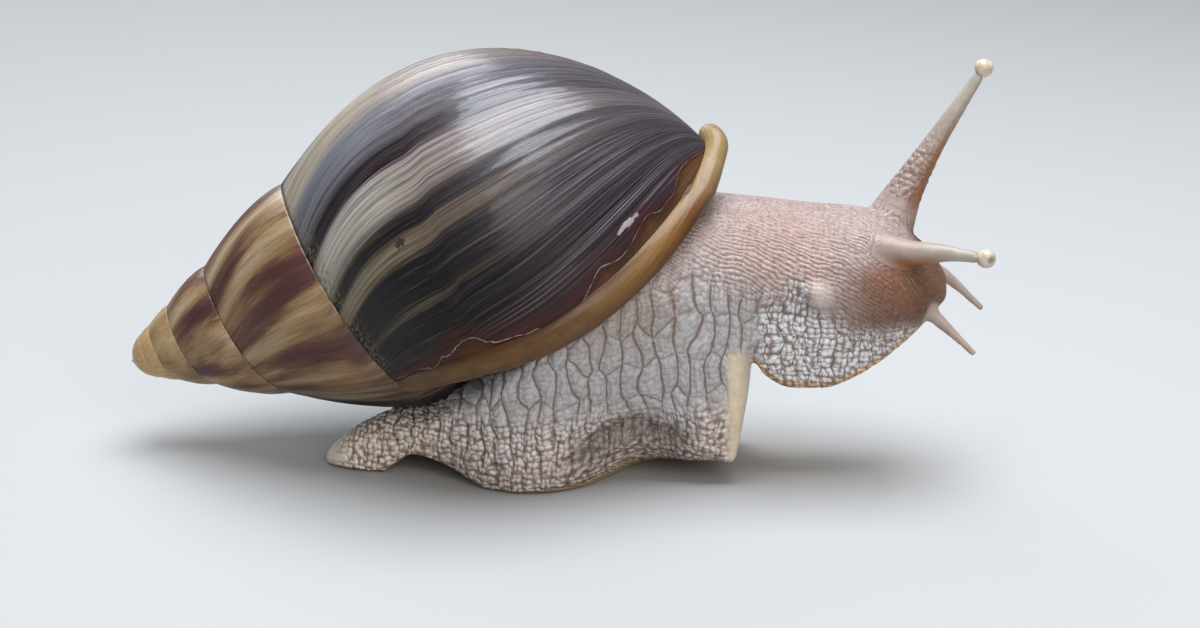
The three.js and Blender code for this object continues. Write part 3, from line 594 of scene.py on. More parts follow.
lip_paint, surface, n = new_material("lip")
band = n.read("band")
share_along, across_band = n.split(band)[:2]
grain = n.noise(n.across("MULTIPLY", band, (0.16, 2.2, 1.0)), 1.0, 4.0, 0.6)
clouds = n.noise(n.across("MULTIPLY", band, (0.35, 0.5, 1.0)), 1.0, 3.0, 0.5)
edge = n.math("ADD", across_band, n.math("MULTIPLY", n.math("SUBTRACT", grain, 0.5), 2.4))
colour = n.ramp(n.add("ShaderNodeMapRange", {"Value": edge, "From Min": -2.6, "From Max": 2.6}),
                (0.0, (0.050, 0.018, 0.007)), (0.16, (0.11, 0.045, 0.012)), (0.34, (0.17, 0.086, 0.022)), (0.52, (0.21, 0.115, 0.033)),
                (0.70, (0.16, 0.076, 0.019)), (0.88, (0.115, 0.045, 0.011)), (1.0, (0.055, 0.022, 0.008)))
# Darker brown along the lower part of the lip: partly its own colour, partly painted shade.
brown_and_shade = n.math("MULTIPLY", n.step(share_along, 50.0, 26.0), n.math("MULTIPLY_ADD", n.step(clouds, 0.4, 0.6), 0.25, 0.6))
colour = n.mix(brown_and_shade, colour, (0.072, 0.029, 0.007, 1))
# Lighter yellow towards the upper end: partly its own colour, partly painted light.
colour = n.mix(n.math("MULTIPLY", n.step(share_along, 52.0, 64.0), 0.55), colour, (0.33, 0.235, 0.105, 1))
n.tree.links.new(colour, surface.inputs["Base Color"])
surface.inputs["Roughness"].default_value = 0.30
surface.inputs["Specular IOR Level"].default_value = 0.25
surface.inputs["Coat Weight"].default_value = 0.15
surface.inputs["Coat Roughness"].default_value = 0.14
bump = n.add("ShaderNodeBump", {"Strength": 0.5, "Distance": 0.00018, "Height": grain})
n.tree.links.new(bump, surface.inputs["Normal"])
lip.data.materials.append(lip_paint)
print("lip up to", round(2 * float(width.max()), 1), "mm wide")

# %% [markdown]
# ## The skin
# Foot, neck and head are one sheet of wet skin, and the feelers grow out of it with no seam. So the solids
# are first drawn apart: the body as sections carried along X, the feelers and the collar of the mantle as
# tubes. The rails below give each section its crown, its two flanks, the fringe above the sole and the sole.

# %% The body's rails
NOSE = 47.2
crown_z = rail((-37.6, 1.4), (-36, 3.2), (-33.5, 5.2), (-29, 7.4), (-24, 9.4), (-16, 16), (-6, 27),
               (4, 35.4), (11, 38.4), (20, 37.9), (28, 37.1), (35, 36.7), (39.5, 35.2), (43, 32.4), (45.8, 29.4), (NOSE, 26.6))
spine_y = rail((-37.6, -5.4), (-32, -4.8), (-24, -2.5), (-12, -0.5), (0, 0))
right_flank_y = rail((-37.6, -6.4), (-36, -8), (-33, -9), (-30, -9.6), (-26, -11.2), (-22, -13.4),
                     (-16, -17), (-9, -20.5), (-2, -21), (4, -19.5), (10, -16.4), (16, -13.4), (24, -12.2),
                     (32, -11.6), (38, -10.2), (43, -8.4), (45.6, -6), (NOSE, -3))
right_flank_z = rail((-37.6, 0.8), (-33, 2), (-30, 2.8), (-26, 5), (-22, 8), (-16, 12), (-9, 17),
                     (-2, 22), (4, 25.5), (10, 27), (16, 26.6), (32, 27), (NOSE, 25.6))
left_flank_y = rail((-37.6, -4.4), (-36, -2.6), (-33, -1), (-30, 0.6), (-26, 4), (-22, 7.4),
                    (-16, 12), (-9, 15), (-2, 15.6), (4, 15), (10, 13.8), (16, 12.6), (24, 12),
                    (32, 11.6), (38, 10.2), (43, 8.4), (45.6, 6), (NOSE, 3))
left_flank_z = rail((-37.6, 0.8), (-33, 2), (-30, 2.8), (-26, 4), (-22, 5.6), (-16, 7.6), (-9, 10),
                    (-2, 15), (4, 20), (10, 24), (16, 26), (32, 27), (NOSE, 25.6))
RAISED_SOLE = [(19.2, 3.2), (19.9, 6), (20.4, 10.5), (20.9, 16), (21.4, 17.6), (23.2, 15.6), (26.5, 14.1), (31, 14.3), (35, 15.9), (39, 18.6), (42.6, 21.6), (45.4, 24), (NOSE, 25.4)]
right_sole_z = rail((-28.8, 0), (-27, 1.6), (-24.5, 3.1), (-20, 2.4), (-16, 0.7), (-14, 0), (12, 0), (14.5, 0.7), (17, 2.2), *RAISED_SOLE)
left_sole_z = rail((-28.8, 0), (-24, 1.2), (-16, 0), (12, 0), (14.5, 0.7), (17, 2.2), *RAISED_SOLE)
right_sole_y = rail((-37.6, -6), (-36, -7.4), (-33, -8.6), (-29, -9), (-23, -10.8), (-18, -12.8),
                    (-13, -14.8), (-9.5, -15.8), (-6, -15.4), (-1.5, -12.8), (2, -8), (5, -2.6), (8, 0.2), (12, 1.4),
                    (14.5, 0), (17, -5), (19, -8.6), (22, -8.8), (30, -8.6), (38, -7.4), (43, -5.8), (NOSE, -2))
right_fringe_y = rail((-37.6, -6.3), (-36, -7.9), (-33, -9.2), (-29, -9.6), (-23, -11.4), (-18, -13.5),
                      (-13, -15.5), (-9.5, -16.5), (-6, -16.4), (-2, -15), (2, -13.4), (8, -12), (14, -11.4), (19.4, -10.2),
                      (22, -9.6), (30, -9.4), (38, -8.2), (43, -6.6), (NOSE, -2.5))
fringe_lift = rail((-9.5, 0.6), (-6, 1.6), (-2, 4), (2, 6.8), (6, 8.4), (10, 7), (14, 4.8), (17, 2.4), (19.4, 0.7), (22, 0.6))
left_sole_y = rail((-37.6, -4.8), (-36, -3.2), (-33, -1.4), (-29, 0.4), (-23, 6), (-16, 11.4), (-9, 14.6),
                   (-2, 15.4), (6, 14.6), (12, 12.6), (19, 9.6), (22, 8.8), (30, 8.6), (38, 7.4), (43, 5.8), (NOSE, 2))
left_fringe_out = rail((-37.6, 0.3), (-33, 0.6), (-9, 0.8), (43, 0.8), (NOSE, 0.5))
roll = rail((20, 0), (30, 5 * DEG), (40, 12 * DEG), (NOSE, 12 * DEG))
ROLL_CENTRE_Z = 26
print("body from", -37.6, "to", NOSE, "mm")

# %% [markdown]
# A half section runs from the crown through a quarter ellipse to the flank, down a slightly hollow side to the
# fringe, and tucks in to the sole. Each point also keeps its layer: 0 at the crown, 1 at the flank, 2 at the
# fringe, 3 at the sole's edge and 4 in the middle of the sole.

# %% The body's sections
def half_section(crown, flank, fringe, sole):
    """Crown to flank: an ellipse. Flank to fringe: share^1.5 outwards. Fringe to sole: a tuck. All as arrays."""
    angle = np.linspace(0, np.pi / 2, 25)[:, None]
    share = np.linspace(0, 1, 25)[1:, None]
    tuck = np.linspace(0, 1, 7)[1:, None]
    y = [crown[0] + (flank[0] - crown[0]) * np.sin(angle),
         flank[0] + (fringe[0] - flank[0]) * (share ** 1.5 + 0.25 * share * (1 - share)),
         fringe[0] + (sole[0] - fringe[0]) * tuck ** 1.3]
    z = [flank[1] + (crown[1] - flank[1]) * np.cos(angle),
         flank[1] + (fringe[1] - flank[1]) * share,
         fringe[1] + (sole[1] - fringe[1]) * tuck ** 0.7]
    layer = np.concatenate([angle[:, 0] / (np.pi / 2), 1 + share[:, 0], 2 + tuck[:, 0]])
    return np.concatenate(y), np.concatenate(z), layer


def body_sections(x):
    """Points (section, point, 3) round the body, and each point's layer, positive on the right side."""
    crown = spine_y(x), crown_z(x)
    ry, rz, layer = half_section(crown, (right_flank_y(x), right_flank_z(x)),
                                 (right_fringe_y(x), right_sole_z(x) + fringe_lift(x)), (right_sole_y(x), right_sole_z(x)))
    ly, lz, _ = half_section(crown, (left_flank_y(x), left_flank_z(x)),
                             (left_sole_y(x) + left_fringe_out(x), left_sole_z(x) + 0.6), (left_sole_y(x), left_sole_z(x)))
    t = np.linspace(0, 1, 14)[1:-1, None]
    y = np.concatenate([ry, ry[-1] + (ly[-1] - ry[-1]) * t, ly[:0:-1]]).T
    z = np.concatenate([rz, rz[-1] + (lz[-1] - rz[-1]) * t, lz[:0:-1]]).T
    layers = np.concatenate([layer, np.where(t[:, 0] < 0.5, 4, -4), -layer[:0:-1]])
    turn = roll(x)[:, None]
    points = np.stack([np.broadcast_to(x[:, None], y.shape),
                       y * np.cos(turn) - (z - ROLL_CENTRE_Z) * np.sin(turn),
                       ROLL_CENTRE_Z + y * np.sin(turn) + (z - ROLL_CENTRE_Z) * np.cos(turn)], -1)
    return points, layers


stations = np.concatenate([np.linspace(-37.6, 18.4, 130), np.linspace(18.5, 22, 36), np.linspace(22.4, NOSE, 60)])
sections, layers = body_sections(stations)
body = closed_tube("body", sections)
outward(body)

# %% [markdown]
# Each feeler is a round tube that tapers along a smooth curve, and the collar of the mantle is a fleshy roll
# just inside the lip that turns down the left side where the neck comes out.

# %% Feelers and collar
FEELERS = {
    "upper right": ([(36, -5, 32.6), (42, -6.8, 32.5), (46.5, -7.9, 32.9), (50.5, -8.7, 32.7)],
                    rail((0, 3), (0.2, 2.4), (0.41, 1.85), (0.68, 1.3), (0.87, 0.93), (1, 0.8))),
    "upper left": ([(39, 3.2, 33.5), (40.9, 4.4, 37.6), (45, 6, 44.7), (50.5, 7.8, 53.4)],
                   rail((0, 3.6), (0.18, 2.8), (0.3, 2.3), (0.53, 1.6), (0.76, 1.15), (1, 0.78))),
    "lower right": ([(43.4, -5, 25.2), (46, -5.7, 23.2), (51.1, -7, 18.8)], rail((0, 1.5), (0.3, 1), (0.8, 0.55), (1, 0.5))),
    "lower left": ([(43.6, 3.4, 28.6), (47.6, 4.3, 26.1), (52.3, 5, 21.7)], rail((0, 1.5), (0.3, 1), (0.8, 0.55), (1, 0.5))),
}
INTO_EYE = 0.7
parts, feeler_lines = [body], {}
for name, (points, radius) in FEELERS.items():
    line = smooth_curve(points, 60)
    if name.startswith("upper"):
        tip = line[-1] - line[-2]
        line = np.concatenate([line, line[-1:] + INTO_EYE * tip / np.linalg.norm(tip)])
    share = np.linspace(0, 1, len(line))
    feeler_lines[name] = line, radius(share)
    rings = carry(line, np.broadcast_to([0.0, 1.0, 0.0], line.shape), radius(share), radius(share), 24)
    parts.append(closed_tube(name.replace(" ", "_"), rings))
    outward(parts[-1])

COLLAR_LEFT = [(12.6, 5, 39.6), (8, 9.4, 34.5), (2.5, 11.8, 28.6), (-5, 13, 22), (-13, 12.6, 15.6)]
path, forward = mouth_path(lambda across: 2.6 + 0 * across, 3.1, 30)
collar_line = smooth_curve([*path[:-4], *COLLAR_LEFT], 160)
share = np.linspace(0, 1, 160)
thick = rail((0, 1.2), (0.1, 1.7), (0.8, 1.7), (1, 1.0))(share) * (1 + 0.05 * whorl_noise(share * 9, 12, 2))
parts.append(closed_tube("collar", carry(collar_line, np.broadcast_to(forward[15], (160, 3)), thick, thick, 20)))
outward(parts[-1])

# %% [markdown]
# A voxel remesh joins the solids: it fills them with small cubes and wraps one new even mesh round all of
# them. It leaves sharp creases where the tubes meet the body, so a smoothing follows, strong near the roots
# of the feelers and light elsewhere, as real skin flows from one form into the next.

# %% One skin
VOXEL = 0.36


def joined(pieces, name):
    """Joins mesh objects into one and removes the originals."""
    with bpy.context.temp_override(active_object=pieces[0], selected_editable_objects=pieces):
        bpy.ops.object.join()
    pieces[0].name = pieces[0].data.name = name
    return pieces[0]


def baked(piece):
    """The mesh as its modifiers leave it, with the modifiers gone."""
    mesh = bpy.data.meshes.new_from_object(piece.evaluated_get(bpy.context.evaluated_depsgraph_get()))
    piece.modifiers.clear()
    piece.data = mesh
    mesh.name = piece.name
    return piece


def points_of(mesh):
    """All points of a mesh as one array, in metres."""
    points = np.empty(len(mesh.vertices) * 3)
    mesh.vertices.foreach_get("co", points)
    return points.reshape(-1, 3)


skin = joined(parts, "skin")
remesh = skin.modifiers.new("one surface", "REMESH")
remesh.mode, remesh.voxel_size, remesh.use_smooth_shade = "VOXEL", VOXEL / 1000, True
baked(skin)
points = points_of(skin.data) * 1000 - TO_ORIGIN


def distance_to(line, points, radius):
    """Distance from each point to the nearest of a line's points, less the tube's radius there."""
    gap = np.full(len(points), 1e9)
    for centre, thickness in zip(line, radius):
        gap = np.minimum(gap, np.linalg.norm(points - centre, axis=1) - thickness)
    return gap


body_x = np.clip(points[:, 0], -37.6, NOSE)
edges = np.empty(len(skin.data.edges) * 2, int)
skin.data.edges.foreach_get("vertices", edges)
edges = edges.reshape(-1, 2)
neighbours = np.bincount(edges.ravel(), minlength=len(points))[:, None]


def smoothed(points, strength, rounds):
    """Moves every point towards the mean of its neighbours, by its own strength, again and again."""
    for _ in range(rounds):
        total = np.zeros_like(points)
        for a, b in ((0, 1), (1, 0)):
            for k in range(3):
                total[:, k] += np.bincount(edges[:, a], points[edges[:, b], k], len(points))
        points = points + strength[:, None] * (total / neighbours - points)
    return points


roots = np.zeros(len(points))
for name, reach in (("upper right", 3.6), ("upper left", 3.8), ("lower right", 1.6), ("lower left", 1.6)):
    line, radius = feeler_lines[name]
    root = line[np.argmax(np.linalg.norm(line - line[0], axis=1) > radius[0] * 1.3)]
    roots = np.maximum(roots, 1 - smoothstep(np.linalg.norm(points - root, axis=1), reach * 0.7, reach * 1.5))
points = smoothed(points, 0.5 * np.maximum(roots, 0.25), 14)
print("skin:", len(points), "points")


def set_points(mesh, points):
    """Puts points, in drawn millimetres, back into a mesh."""
    mesh.vertices.foreach_set("co", to_frame(points).ravel())
    mesh.update()


set_points(skin.data, points)
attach(skin, "root")
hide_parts("mantle_collar", "tail", "foot_middle", "foot_front", "neck", "head", "snout",
            "upper_tentacle_right_base", "upper_tentacle_right_tip", "upper_tentacle_left_base",
            "upper_tentacle_left_tip", "lower_tentacle_right", "lower_tentacle_left")

# %% [markdown]
# ### Where each point lies on the body
# The remesh forgets the sections, so each new point is laid on the nearest section again. That gives three
# numbers that follow the skin round every bulge: the place along the body, the distance walked from the crown
# down the flank, and the level, which is the height of the fringe plus the distance up from it. Patterns read these, not X, Y and Z, so no lump is
# ever stretched where the surface turns.

# %% Lay the points on the sections
def on_sections(points):
    """Signed arc length from the crown, layer, and the distance up from the fringe, for each point."""
    turn = roll(np.clip(points[:, 0], -37.6, NOSE))
    y = points[:, 1] * np.cos(turn) + (points[:, 2] - ROLL_CENTRE_Z) * np.sin(turn)
    z = ROLL_CENTRE_Z - points[:, 1] * np.sin(turn) + (points[:, 2] - ROLL_CENTRE_Z) * np.cos(turn)
    nearest = np.abs(points[:, 0, None] - stations[None]).argmin(1)
    out = np.zeros((len(points), 3))
    for k in np.unique(nearest):
        mine = np.flatnonzero(nearest == k)
        ring = np.concatenate([sections[k], sections[k, :1]])
        step = np.diff(ring, axis=0)
        length = np.linalg.norm(step, axis=1)
        walked = np.concatenate([[0], np.cumsum(length)])
        gap = points[mine, None] - ring[None, :-1]
        gap[..., 0] = 0
        share = np.clip((gap * step).sum(2) / np.maximum(length ** 2, 1e-9), 0, 1)
        near = np.linalg.norm(gap - share[..., None] * step, axis=2).argmin(1)
        share = share[np.arange(len(mine)), near]
        p = walked[near] + share * length[near]
        layer = np.abs(np.append(layers, 0.0))
        level = layer[near] + share * (layer[near + 1] - layer[near])
        right = p < walked[:-1][layers == -4][0]
        fringe = np.where(right, walked[:-1][layers == 2][0], walked[-1] - walked[:-1][layers == -2][0])
        p = np.where(right, p, p - walked[-1])
        out[mine] = np.stack([p, level, fringe - np.abs(p)], 1)
    return out, np.stack([points[:, 0], -np.abs(y), z], 1)


laid, folded = on_sections(points)
walk, layer, up_from_fringe = smoothed(laid, np.full(len(points), 0.5), 2).T
rings = np.concatenate([sections, sections[:, :1]], 1)
ring_walk = np.cumsum(np.linalg.norm(np.diff(rings, axis=1), axis=2), axis=1)
right_top = np.interp(body_x, stations, ring_walk[:, np.flatnonzero(layers == 2)[0] - 1]) + right_sole_z(body_x) + fringe_lift(body_x)
left_top = np.interp(body_x, stations, ring_walk[:, -1] - ring_walk[:, np.flatnonzero(layers == -2)[0] - 1]) + left_sole_z(body_x) + 0.6
middle_top, own_top = (right_top + left_top) / 2, np.where(walk > 0, right_top, left_top)
level = middle_top + (own_top - middle_top) * smoothstep(np.abs(walk), 0, 9) - np.abs(walk)
print("skin walk", round(walk.min(), 1), "to", round(walk.max(), 1), "mm")

# %% [markdown]
# ### Regions of the skin
# A snail's skin isn't the same all over. Long rows of small warts run down the neck to the snout. Tall
# cushions cover the flank under the shell, squarish ones the chin, and fine grains the fringe. The soles and
# the feelers are smooth. Each region is a smooth weight between 0 and 1, and so is each tint.

# %% Regions and tints
x, y, z = folded.T
in_feeler, feeler_share = np.zeros(len(points)), np.zeros(len(points))
on_feeler = np.zeros((len(points), 2))
for line, radius in feeler_lines.values():
    away = np.linalg.norm(points[:, None] - line[None, ::2], axis=2)
    nearest = away.argmin(1)
    share_here = nearest / len(line[::2])
    inside = 1 - smoothstep(away.min(1) - radius[::2][nearest], 0.15, 0.8)
    inside *= smoothstep(share_here, 0.05, 0.2)
    onward = (line[-1] - line[0]) / np.linalg.norm(line[-1] - line[0])
    far_side = np.array([0.0, 1.0, 0.0]) - onward[1] * onward
    out = points - line[::2][nearest]
    around = np.arctan2(out @ np.cross(onward, far_side), -(out @ far_side)) * radius[::2][nearest]
    mine = inside > in_feeler
    feeler_share = np.where(mine, share_here, feeler_share)
    on_feeler = np.where(mine[:, None], np.stack([(points - line[0]) @ onward, around + 90], 1), on_feeler)
    in_feeler = np.maximum(in_feeler, inside)
in_collar = 1 - smoothstep(distance_to(collar_line, points, thick), 0.2, 0.7)


def near(place, inner, outer):
    """1 within inner mm of a place on the right side, mirrored on the left, and 0 beyond outer."""
    return 1 - smoothstep(np.linalg.norm(folded - np.array(place), axis=1), inner, outer)


row_line = rail((6, 31), (14, 31), (20, 30), (26, 28.5), (33, 26), (40, 24.5), (NOSE, 22))
wobble = 2.2 * whorl_noise(np.clip(x + 45, 0, None) * 0.22, 21, 3)
rows = smoothstep(z - row_line(x) + wobble, -2.2, 2.2) * smoothstep(x, 6, 11)
chin = (1 - rows) * smoothstep(x, 21, 23.5)
grain_top = np.where(x > 20, 1.2, 4.2)
swelling = near((30.4, -11.6, 28.5), 0.5, 2.9)
granular = in_feeler * (1 - smoothstep(feeler_share, 0.35, 0.75)) * (np.linalg.norm(points - np.array([44, 5, 43]), axis=1) < 14)
grains = (1 - smoothstep(up_from_fringe, 0.35 * grain_top, grain_top)) * (1 - rows)
grains = np.maximum(grains, smoothstep(x, 12.5, 16.5) * smoothstep(z, 15, 9) * (x < 24))
grains = np.maximum.reduce([grains, 0.8 * smoothstep(x, -27, -31), granular])
tall = (1 - rows) * (1 - chin) * smoothstep(z, 9, 13)
front_strip = smoothstep(x + 0.35 * wobble, 18.1, 19.9) * smoothstep(x, 21.4, 20.6) * smoothstep(z, 20.5, 18.5)
feeler_ring = smoothstep(np.abs(in_feeler - 0.5), 0.5, 0.25)
bare = np.maximum.reduce([smoothstep(layer, 2.75, 3.0), in_feeler - granular, in_collar, smoothstep(x, -33, -37),
                          0.75 * swelling, front_strip, 0.9 * feeler_ring])
FOLD_DEPTH = 1.3
under_lobe = smoothstep(x, -5, 1) * smoothstep(x, 15, 11) * (walk > 0)
fold = np.exp(-(((up_from_fringe - 0.6) / 1.5) ** 2)) * under_lobe
# This mask is painted shade: it darkens the skin along the deep fold under the front lobe, the grooves nearly to black.
crease_shade = np.exp(-(((up_from_fringe + 0.2) / 3.2) ** 2)) * under_lobe


def tinted(tint, colour, weight):
    """Mixes a colour in by weight."""
    return tint + (np.array(colour) - tint) * np.clip(weight, 0, 1)[:, None]


normals = np.empty(len(points) * 3)
skin.data.vertex_normals.foreach_get("vector", normals)
normals = normals.reshape(-1, 3)
tint = np.tile((0.43, 0.425, 0.43), (len(points), 1))
tint = tinted(tint, (0.64, 0.58, 0.54), smoothstep(z, 15, 6) * smoothstep(x, 12, 2))
tint = tinted(tint, (0.66, 0.655, 0.66), chin * smoothstep(z, 28, 24))
# Painted shade: the upper flank under the shell's lip is darker and browner.
tint = tinted(tint, (0.33, 0.28, 0.245), 0.8 * smoothstep(z, 18, 26) * smoothstep(x, 15, 8) * (1 - rows))
tint = tinted(tint, (0.365, 0.29, 0.27), smoothstep(z - row_line(x) + wobble, -5, 4) * smoothstep(x, 4, 12))
tint = tinted(tint, (0.38, 0.245, 0.19), 0.6 * rows * near((25, -8, 35), 2, 11))
tint = tinted(tint, (0.60, 0.51, 0.45), 0.7 * grains * (x < 24))
# The tail's pale tint is partly its own colour and partly painted light, standing in for the light that the shell's
# shadow takes away.
tint = tinted(tint, (0.82, 0.73, 0.63), smoothstep(x, -16, -26))
tint = tinted(tint, (0.16, 0.070, 0.034), 0.9 * smoothstep(x, 30, 39) * smoothstep(z, 23, 26) * smoothstep(z, 34, 31))
tint = tinted(tint, (0.12, 0.050, 0.019), np.maximum(0.95 * near((45, -5, 28.5), 3.2, 7.5), 0.85 * near((41.5, -7.5, 29.4), 1.2, 4.5)))
tint = tinted(tint, (0.20, 0.085, 0.036), 0.75 * near((41, -9.5, 31.8), 2.2, 6.5))
tint = tinted(tint, (0.15, 0.07, 0.03), 0.8 * smoothstep(x, 43.5, 46))
tint = tinted(tint, (0.52, 0.37, 0.20), smoothstep(layer, 2.45, 2.9))
tint = tinted(tint, (0.52, 0.34, 0.16), 0.9 * (1 - smoothstep(up_from_fringe, 0.2, 1.3)) * (x > 22) * (1 - rows))
tint = tinted(tint, (0.66, 0.54, 0.38), 0.9 * front_strip)
tint = tinted(tint, (0.17, 0.09, 0.055), in_collar)
stem = tinted(np.tile((0.31, 0.235, 0.20), (len(points), 1)), (0.345, 0.305, 0.255), smoothstep(feeler_share, 0.3, 0.85))
# The down-facing side of each feeler near its root turns dark orange-brown: partly its own colour, partly painted
# shade.
under = smoothstep(0.5 * normals[:, 0] - normals[:, 2], -0.35, 0.55)
stem = tinted(stem, (0.25, 0.090, 0.028), (1 - smoothstep(feeler_share, 0.4, 0.85)) * under)
stem = tinted(stem, (0.36, 0.285, 0.24), smoothstep(points[:, 2], 29.5, 28.5) * (points[:, 0] > 44))
tint = tint + (stem - tint) * in_feeler[:, None]
tint = tinted(tint, (0.47, 0.40, 0.355), 0.75 * swelling)
raised = 1.35 * swelling * (points[:, 1] < 0) - FOLD_DEPTH * fold
points = points + raised[:, None] * normals
set_points(skin.data, points)
feeler_place = np.stack([on_feeler[:, 0] + 60, on_feeler[:, 1], on_feeler[:, 1]], 1)
place = np.where((in_feeler > 0.5)[:, None], feeler_place, np.stack([points[:, 0], walk, level], 1))
store(skin, "place", place)
store(skin, "kind", np.stack([rows, tall, chin], 1))
# The third number here is the painted shade of the fold under the front lobe.
store(skin, "finish_and_crease_shade", np.stack([grains * (1 - bare), bare, crease_shade], 1))
store(skin, "tint", tint)
print("skin regions:", {name: round(float(w.mean()), 2) for name, w in (("rows", rows), ("tall", tall), ("chin", chin), ("grains", grains))})

# %% [markdown]
# ### Cushions and grains
# Long furrows run down the flank and along the neck, and weaker ones cross them. Evenly spaced lines that noise
# bends make the long ones. Cells make the crossings, but stretched cells have thick edges one way and thin the
# other. So the two nearest cell centres are found in the stretched pattern, and the distance to the line
# between them is then worked out in real millimetres. The same formula shapes the surface through a modifier and colours it in the material,
# so each groove is dark exactly where it is deep.

# %% The pattern of the skin
def cell_edge(n, u, v, wide, tall, random=0.85):
    """Millimetres to the line between the two nearest cells, (s - middle) . (a - b) / |(a - b) / size|, and
    how much that line runs downwards, 1, and not along the body, 0."""
    s = n.vector(n.math("DIVIDE", u, wide), n.math("DIVIDE", v, tall))
    centre = [n.add("ShaderNodeTexVoronoi", {"Vector": s, "Scale": 1.0, "Randomness": random}, "Position",
                    voronoi_dimensions="2D", feature=feature) for feature in ("F1", "F2")]
    apart = n.across("SUBTRACT", *centre)
    middle = n.add("ShaderNodeVectorMath", {0: n.across("ADD", *centre), "Scale": 0.5}, operation="SCALE")
    inside = n.across("DOT_PRODUCT", n.across("SUBTRACT", s, middle), apart, output=1)
    rate = n.across("MULTIPLY", apart, (1 / wide, 1 / tall, 0.0))
    slope = n.math("MAXIMUM", n.across("LENGTH", rate, output=1), 0.001)
    return n.math("DIVIDE", inside, slope), n.math("DIVIDE", n.math("ABSOLUTE", n.split(rate)[0]), slope)


def bead_shape(n, u, v, wide, tall, random):
    """Round beads: how high a bead stands, and how far the place lies in the gap between them."""
    s = n.vector(n.math("DIVIDE", u, wide), n.math("DIVIDE", v, tall))
    from_centre = n.add("ShaderNodeTexVoronoi", {"Vector": s, "Scale": 1.0, "Randomness": random}, "Distance",
                        voronoi_dimensions="2D", feature="F1")
    return n.step(from_centre, 0.62, 0.12), n.step(from_centre, 0.42, 0.60)


def long_furrow(n, along, spacing):
    """Millimetres to the nearest of evenly spaced lines, |s - round(s)| times the spacing."""
    return n.math("MULTIPLY", n.math("PINGPONG", n.math("DIVIDE", along, spacing), 0.5), spacing)


def sunk(n, edge, soft, width):
    """How far the skin dips beside a groove, over a soft width and a wider one, and the groove's own line."""
    rise = n.math("MULTIPLY_ADD", n.step(edge, 0.0, soft), 0.75, n.math("MULTIPLY", n.step(edge, 0.1, 2.2 * soft), 0.25))
    return n.math("SUBTRACT", 1.0, rise), n.step(edge, width, 0.03)


def skin_pattern(n):
    """The height of the skin, 0 to 1, its grooves, and the numbers that both came from."""
    x, p, level = n.split(n.read("place"))[:3]
    rows, tall, chin = n.split(n.read("kind"))[:3]
    # The last of these is the painted shade of the fold under the front lobe.
    grains, bare, crease_shade = n.split(n.read("finish_and_crease_shade"))[:3]
    p = n.math("ABSOLUTE", p)
    drift = n.split(n.noise(n.vector(x, p), 0.16, 0.0, 0.5))
    sway = n.split(n.noise(n.vector(x, p, 8.0), 0.7, 0.0, 0.5))
    u = n.math("ADD", x, n.math("ADD", n.math("MULTIPLY", drift[0], 2.4), n.math("MULTIPLY", sway[0], 0.25)))
    v = n.math("ADD", level, n.math("ADD", n.math("MULTIPLY", drift[1], 1.6), n.math("MULTIPLY", sway[1], 0.2)))
    down = n.math("ADD", n.math("SUBTRACT", p, n.math("MULTIPLY", x, 0.18)), n.math("MULTIPLY", drift[1], 2.4))
    low = n.math("SUBTRACT", n.math("SUBTRACT", n.math("SUBTRACT", 1.0, rows), tall, clamp=True), chin, clamp=True)
    kinds = ((low, cell_edge(n, u, v, 2.1, 2.4, 0.45), 0.6, 0.25, 0.45), (tall, cell_edge(n, u, v, 2.2, 5.4, 0.6), 0.8, 0.27, 0.5),
             (chin, cell_edge(n, u, v, 1.7, 1.6, 0.45), 0.5, 0.15, 0.7), (rows, cell_edge(n, u, down, 1.5, 0.9, 0.7), 0.28, 0.10, 0.4))
    cushion, groove = 0.0, 0.0
    for weight, (edge, downwards), soft, width, across in kinds:
        hollow, line = sunk(n, edge, soft, width)
        strength = n.math("MULTIPLY_ADD", n.step(downwards, 0.4, 0.9), 1 - across, across)
        hollow, line = n.math("MULTIPLY", hollow, strength), n.math("MULTIPLY", line, strength)
        if weight is rows:
            long_hollow, long_line = sunk(n, long_furrow(n, n.math("MULTIPLY_ADD", sway[1], 0.7, down), 0.64), soft, width)
            hollow, line = n.math("MAXIMUM", n.math("MULTIPLY", hollow, 0.5), long_hollow), n.math("MAXIMUM", n.math("MULTIPLY", line, 0.4), long_line)
        cushion = n.math("MULTIPLY_ADD", weight, n.math("SUBTRACT", 1.0, hollow), cushion)
        groove = n.math("MULTIPLY_ADD", weight, line, groove)
    grain, gap = bead_shape(n, u, v, 1.0, 0.95, 0.6)
    cushion = n.math("ADD", n.math("MULTIPLY", cushion, n.math("SUBTRACT", 1.0, grains)), n.math("MULTIPLY", grain, grains))
    groove = n.math("ADD", n.math("MULTIPLY", groove, n.math("SUBTRACT", 1.0, n.math("MULTIPLY", grains, 0.5))),
                    n.math("MULTIPLY", gap, n.math("MULTIPLY", grains, 0.5)), clamp=True)
    solid = n.math("SUBTRACT", 1.0, bare)
    return n.math("MULTIPLY", cushion, solid), n.math("MULTIPLY", groove, solid), (x, p, u, v, rows, tall, bare, crease_shade), grains


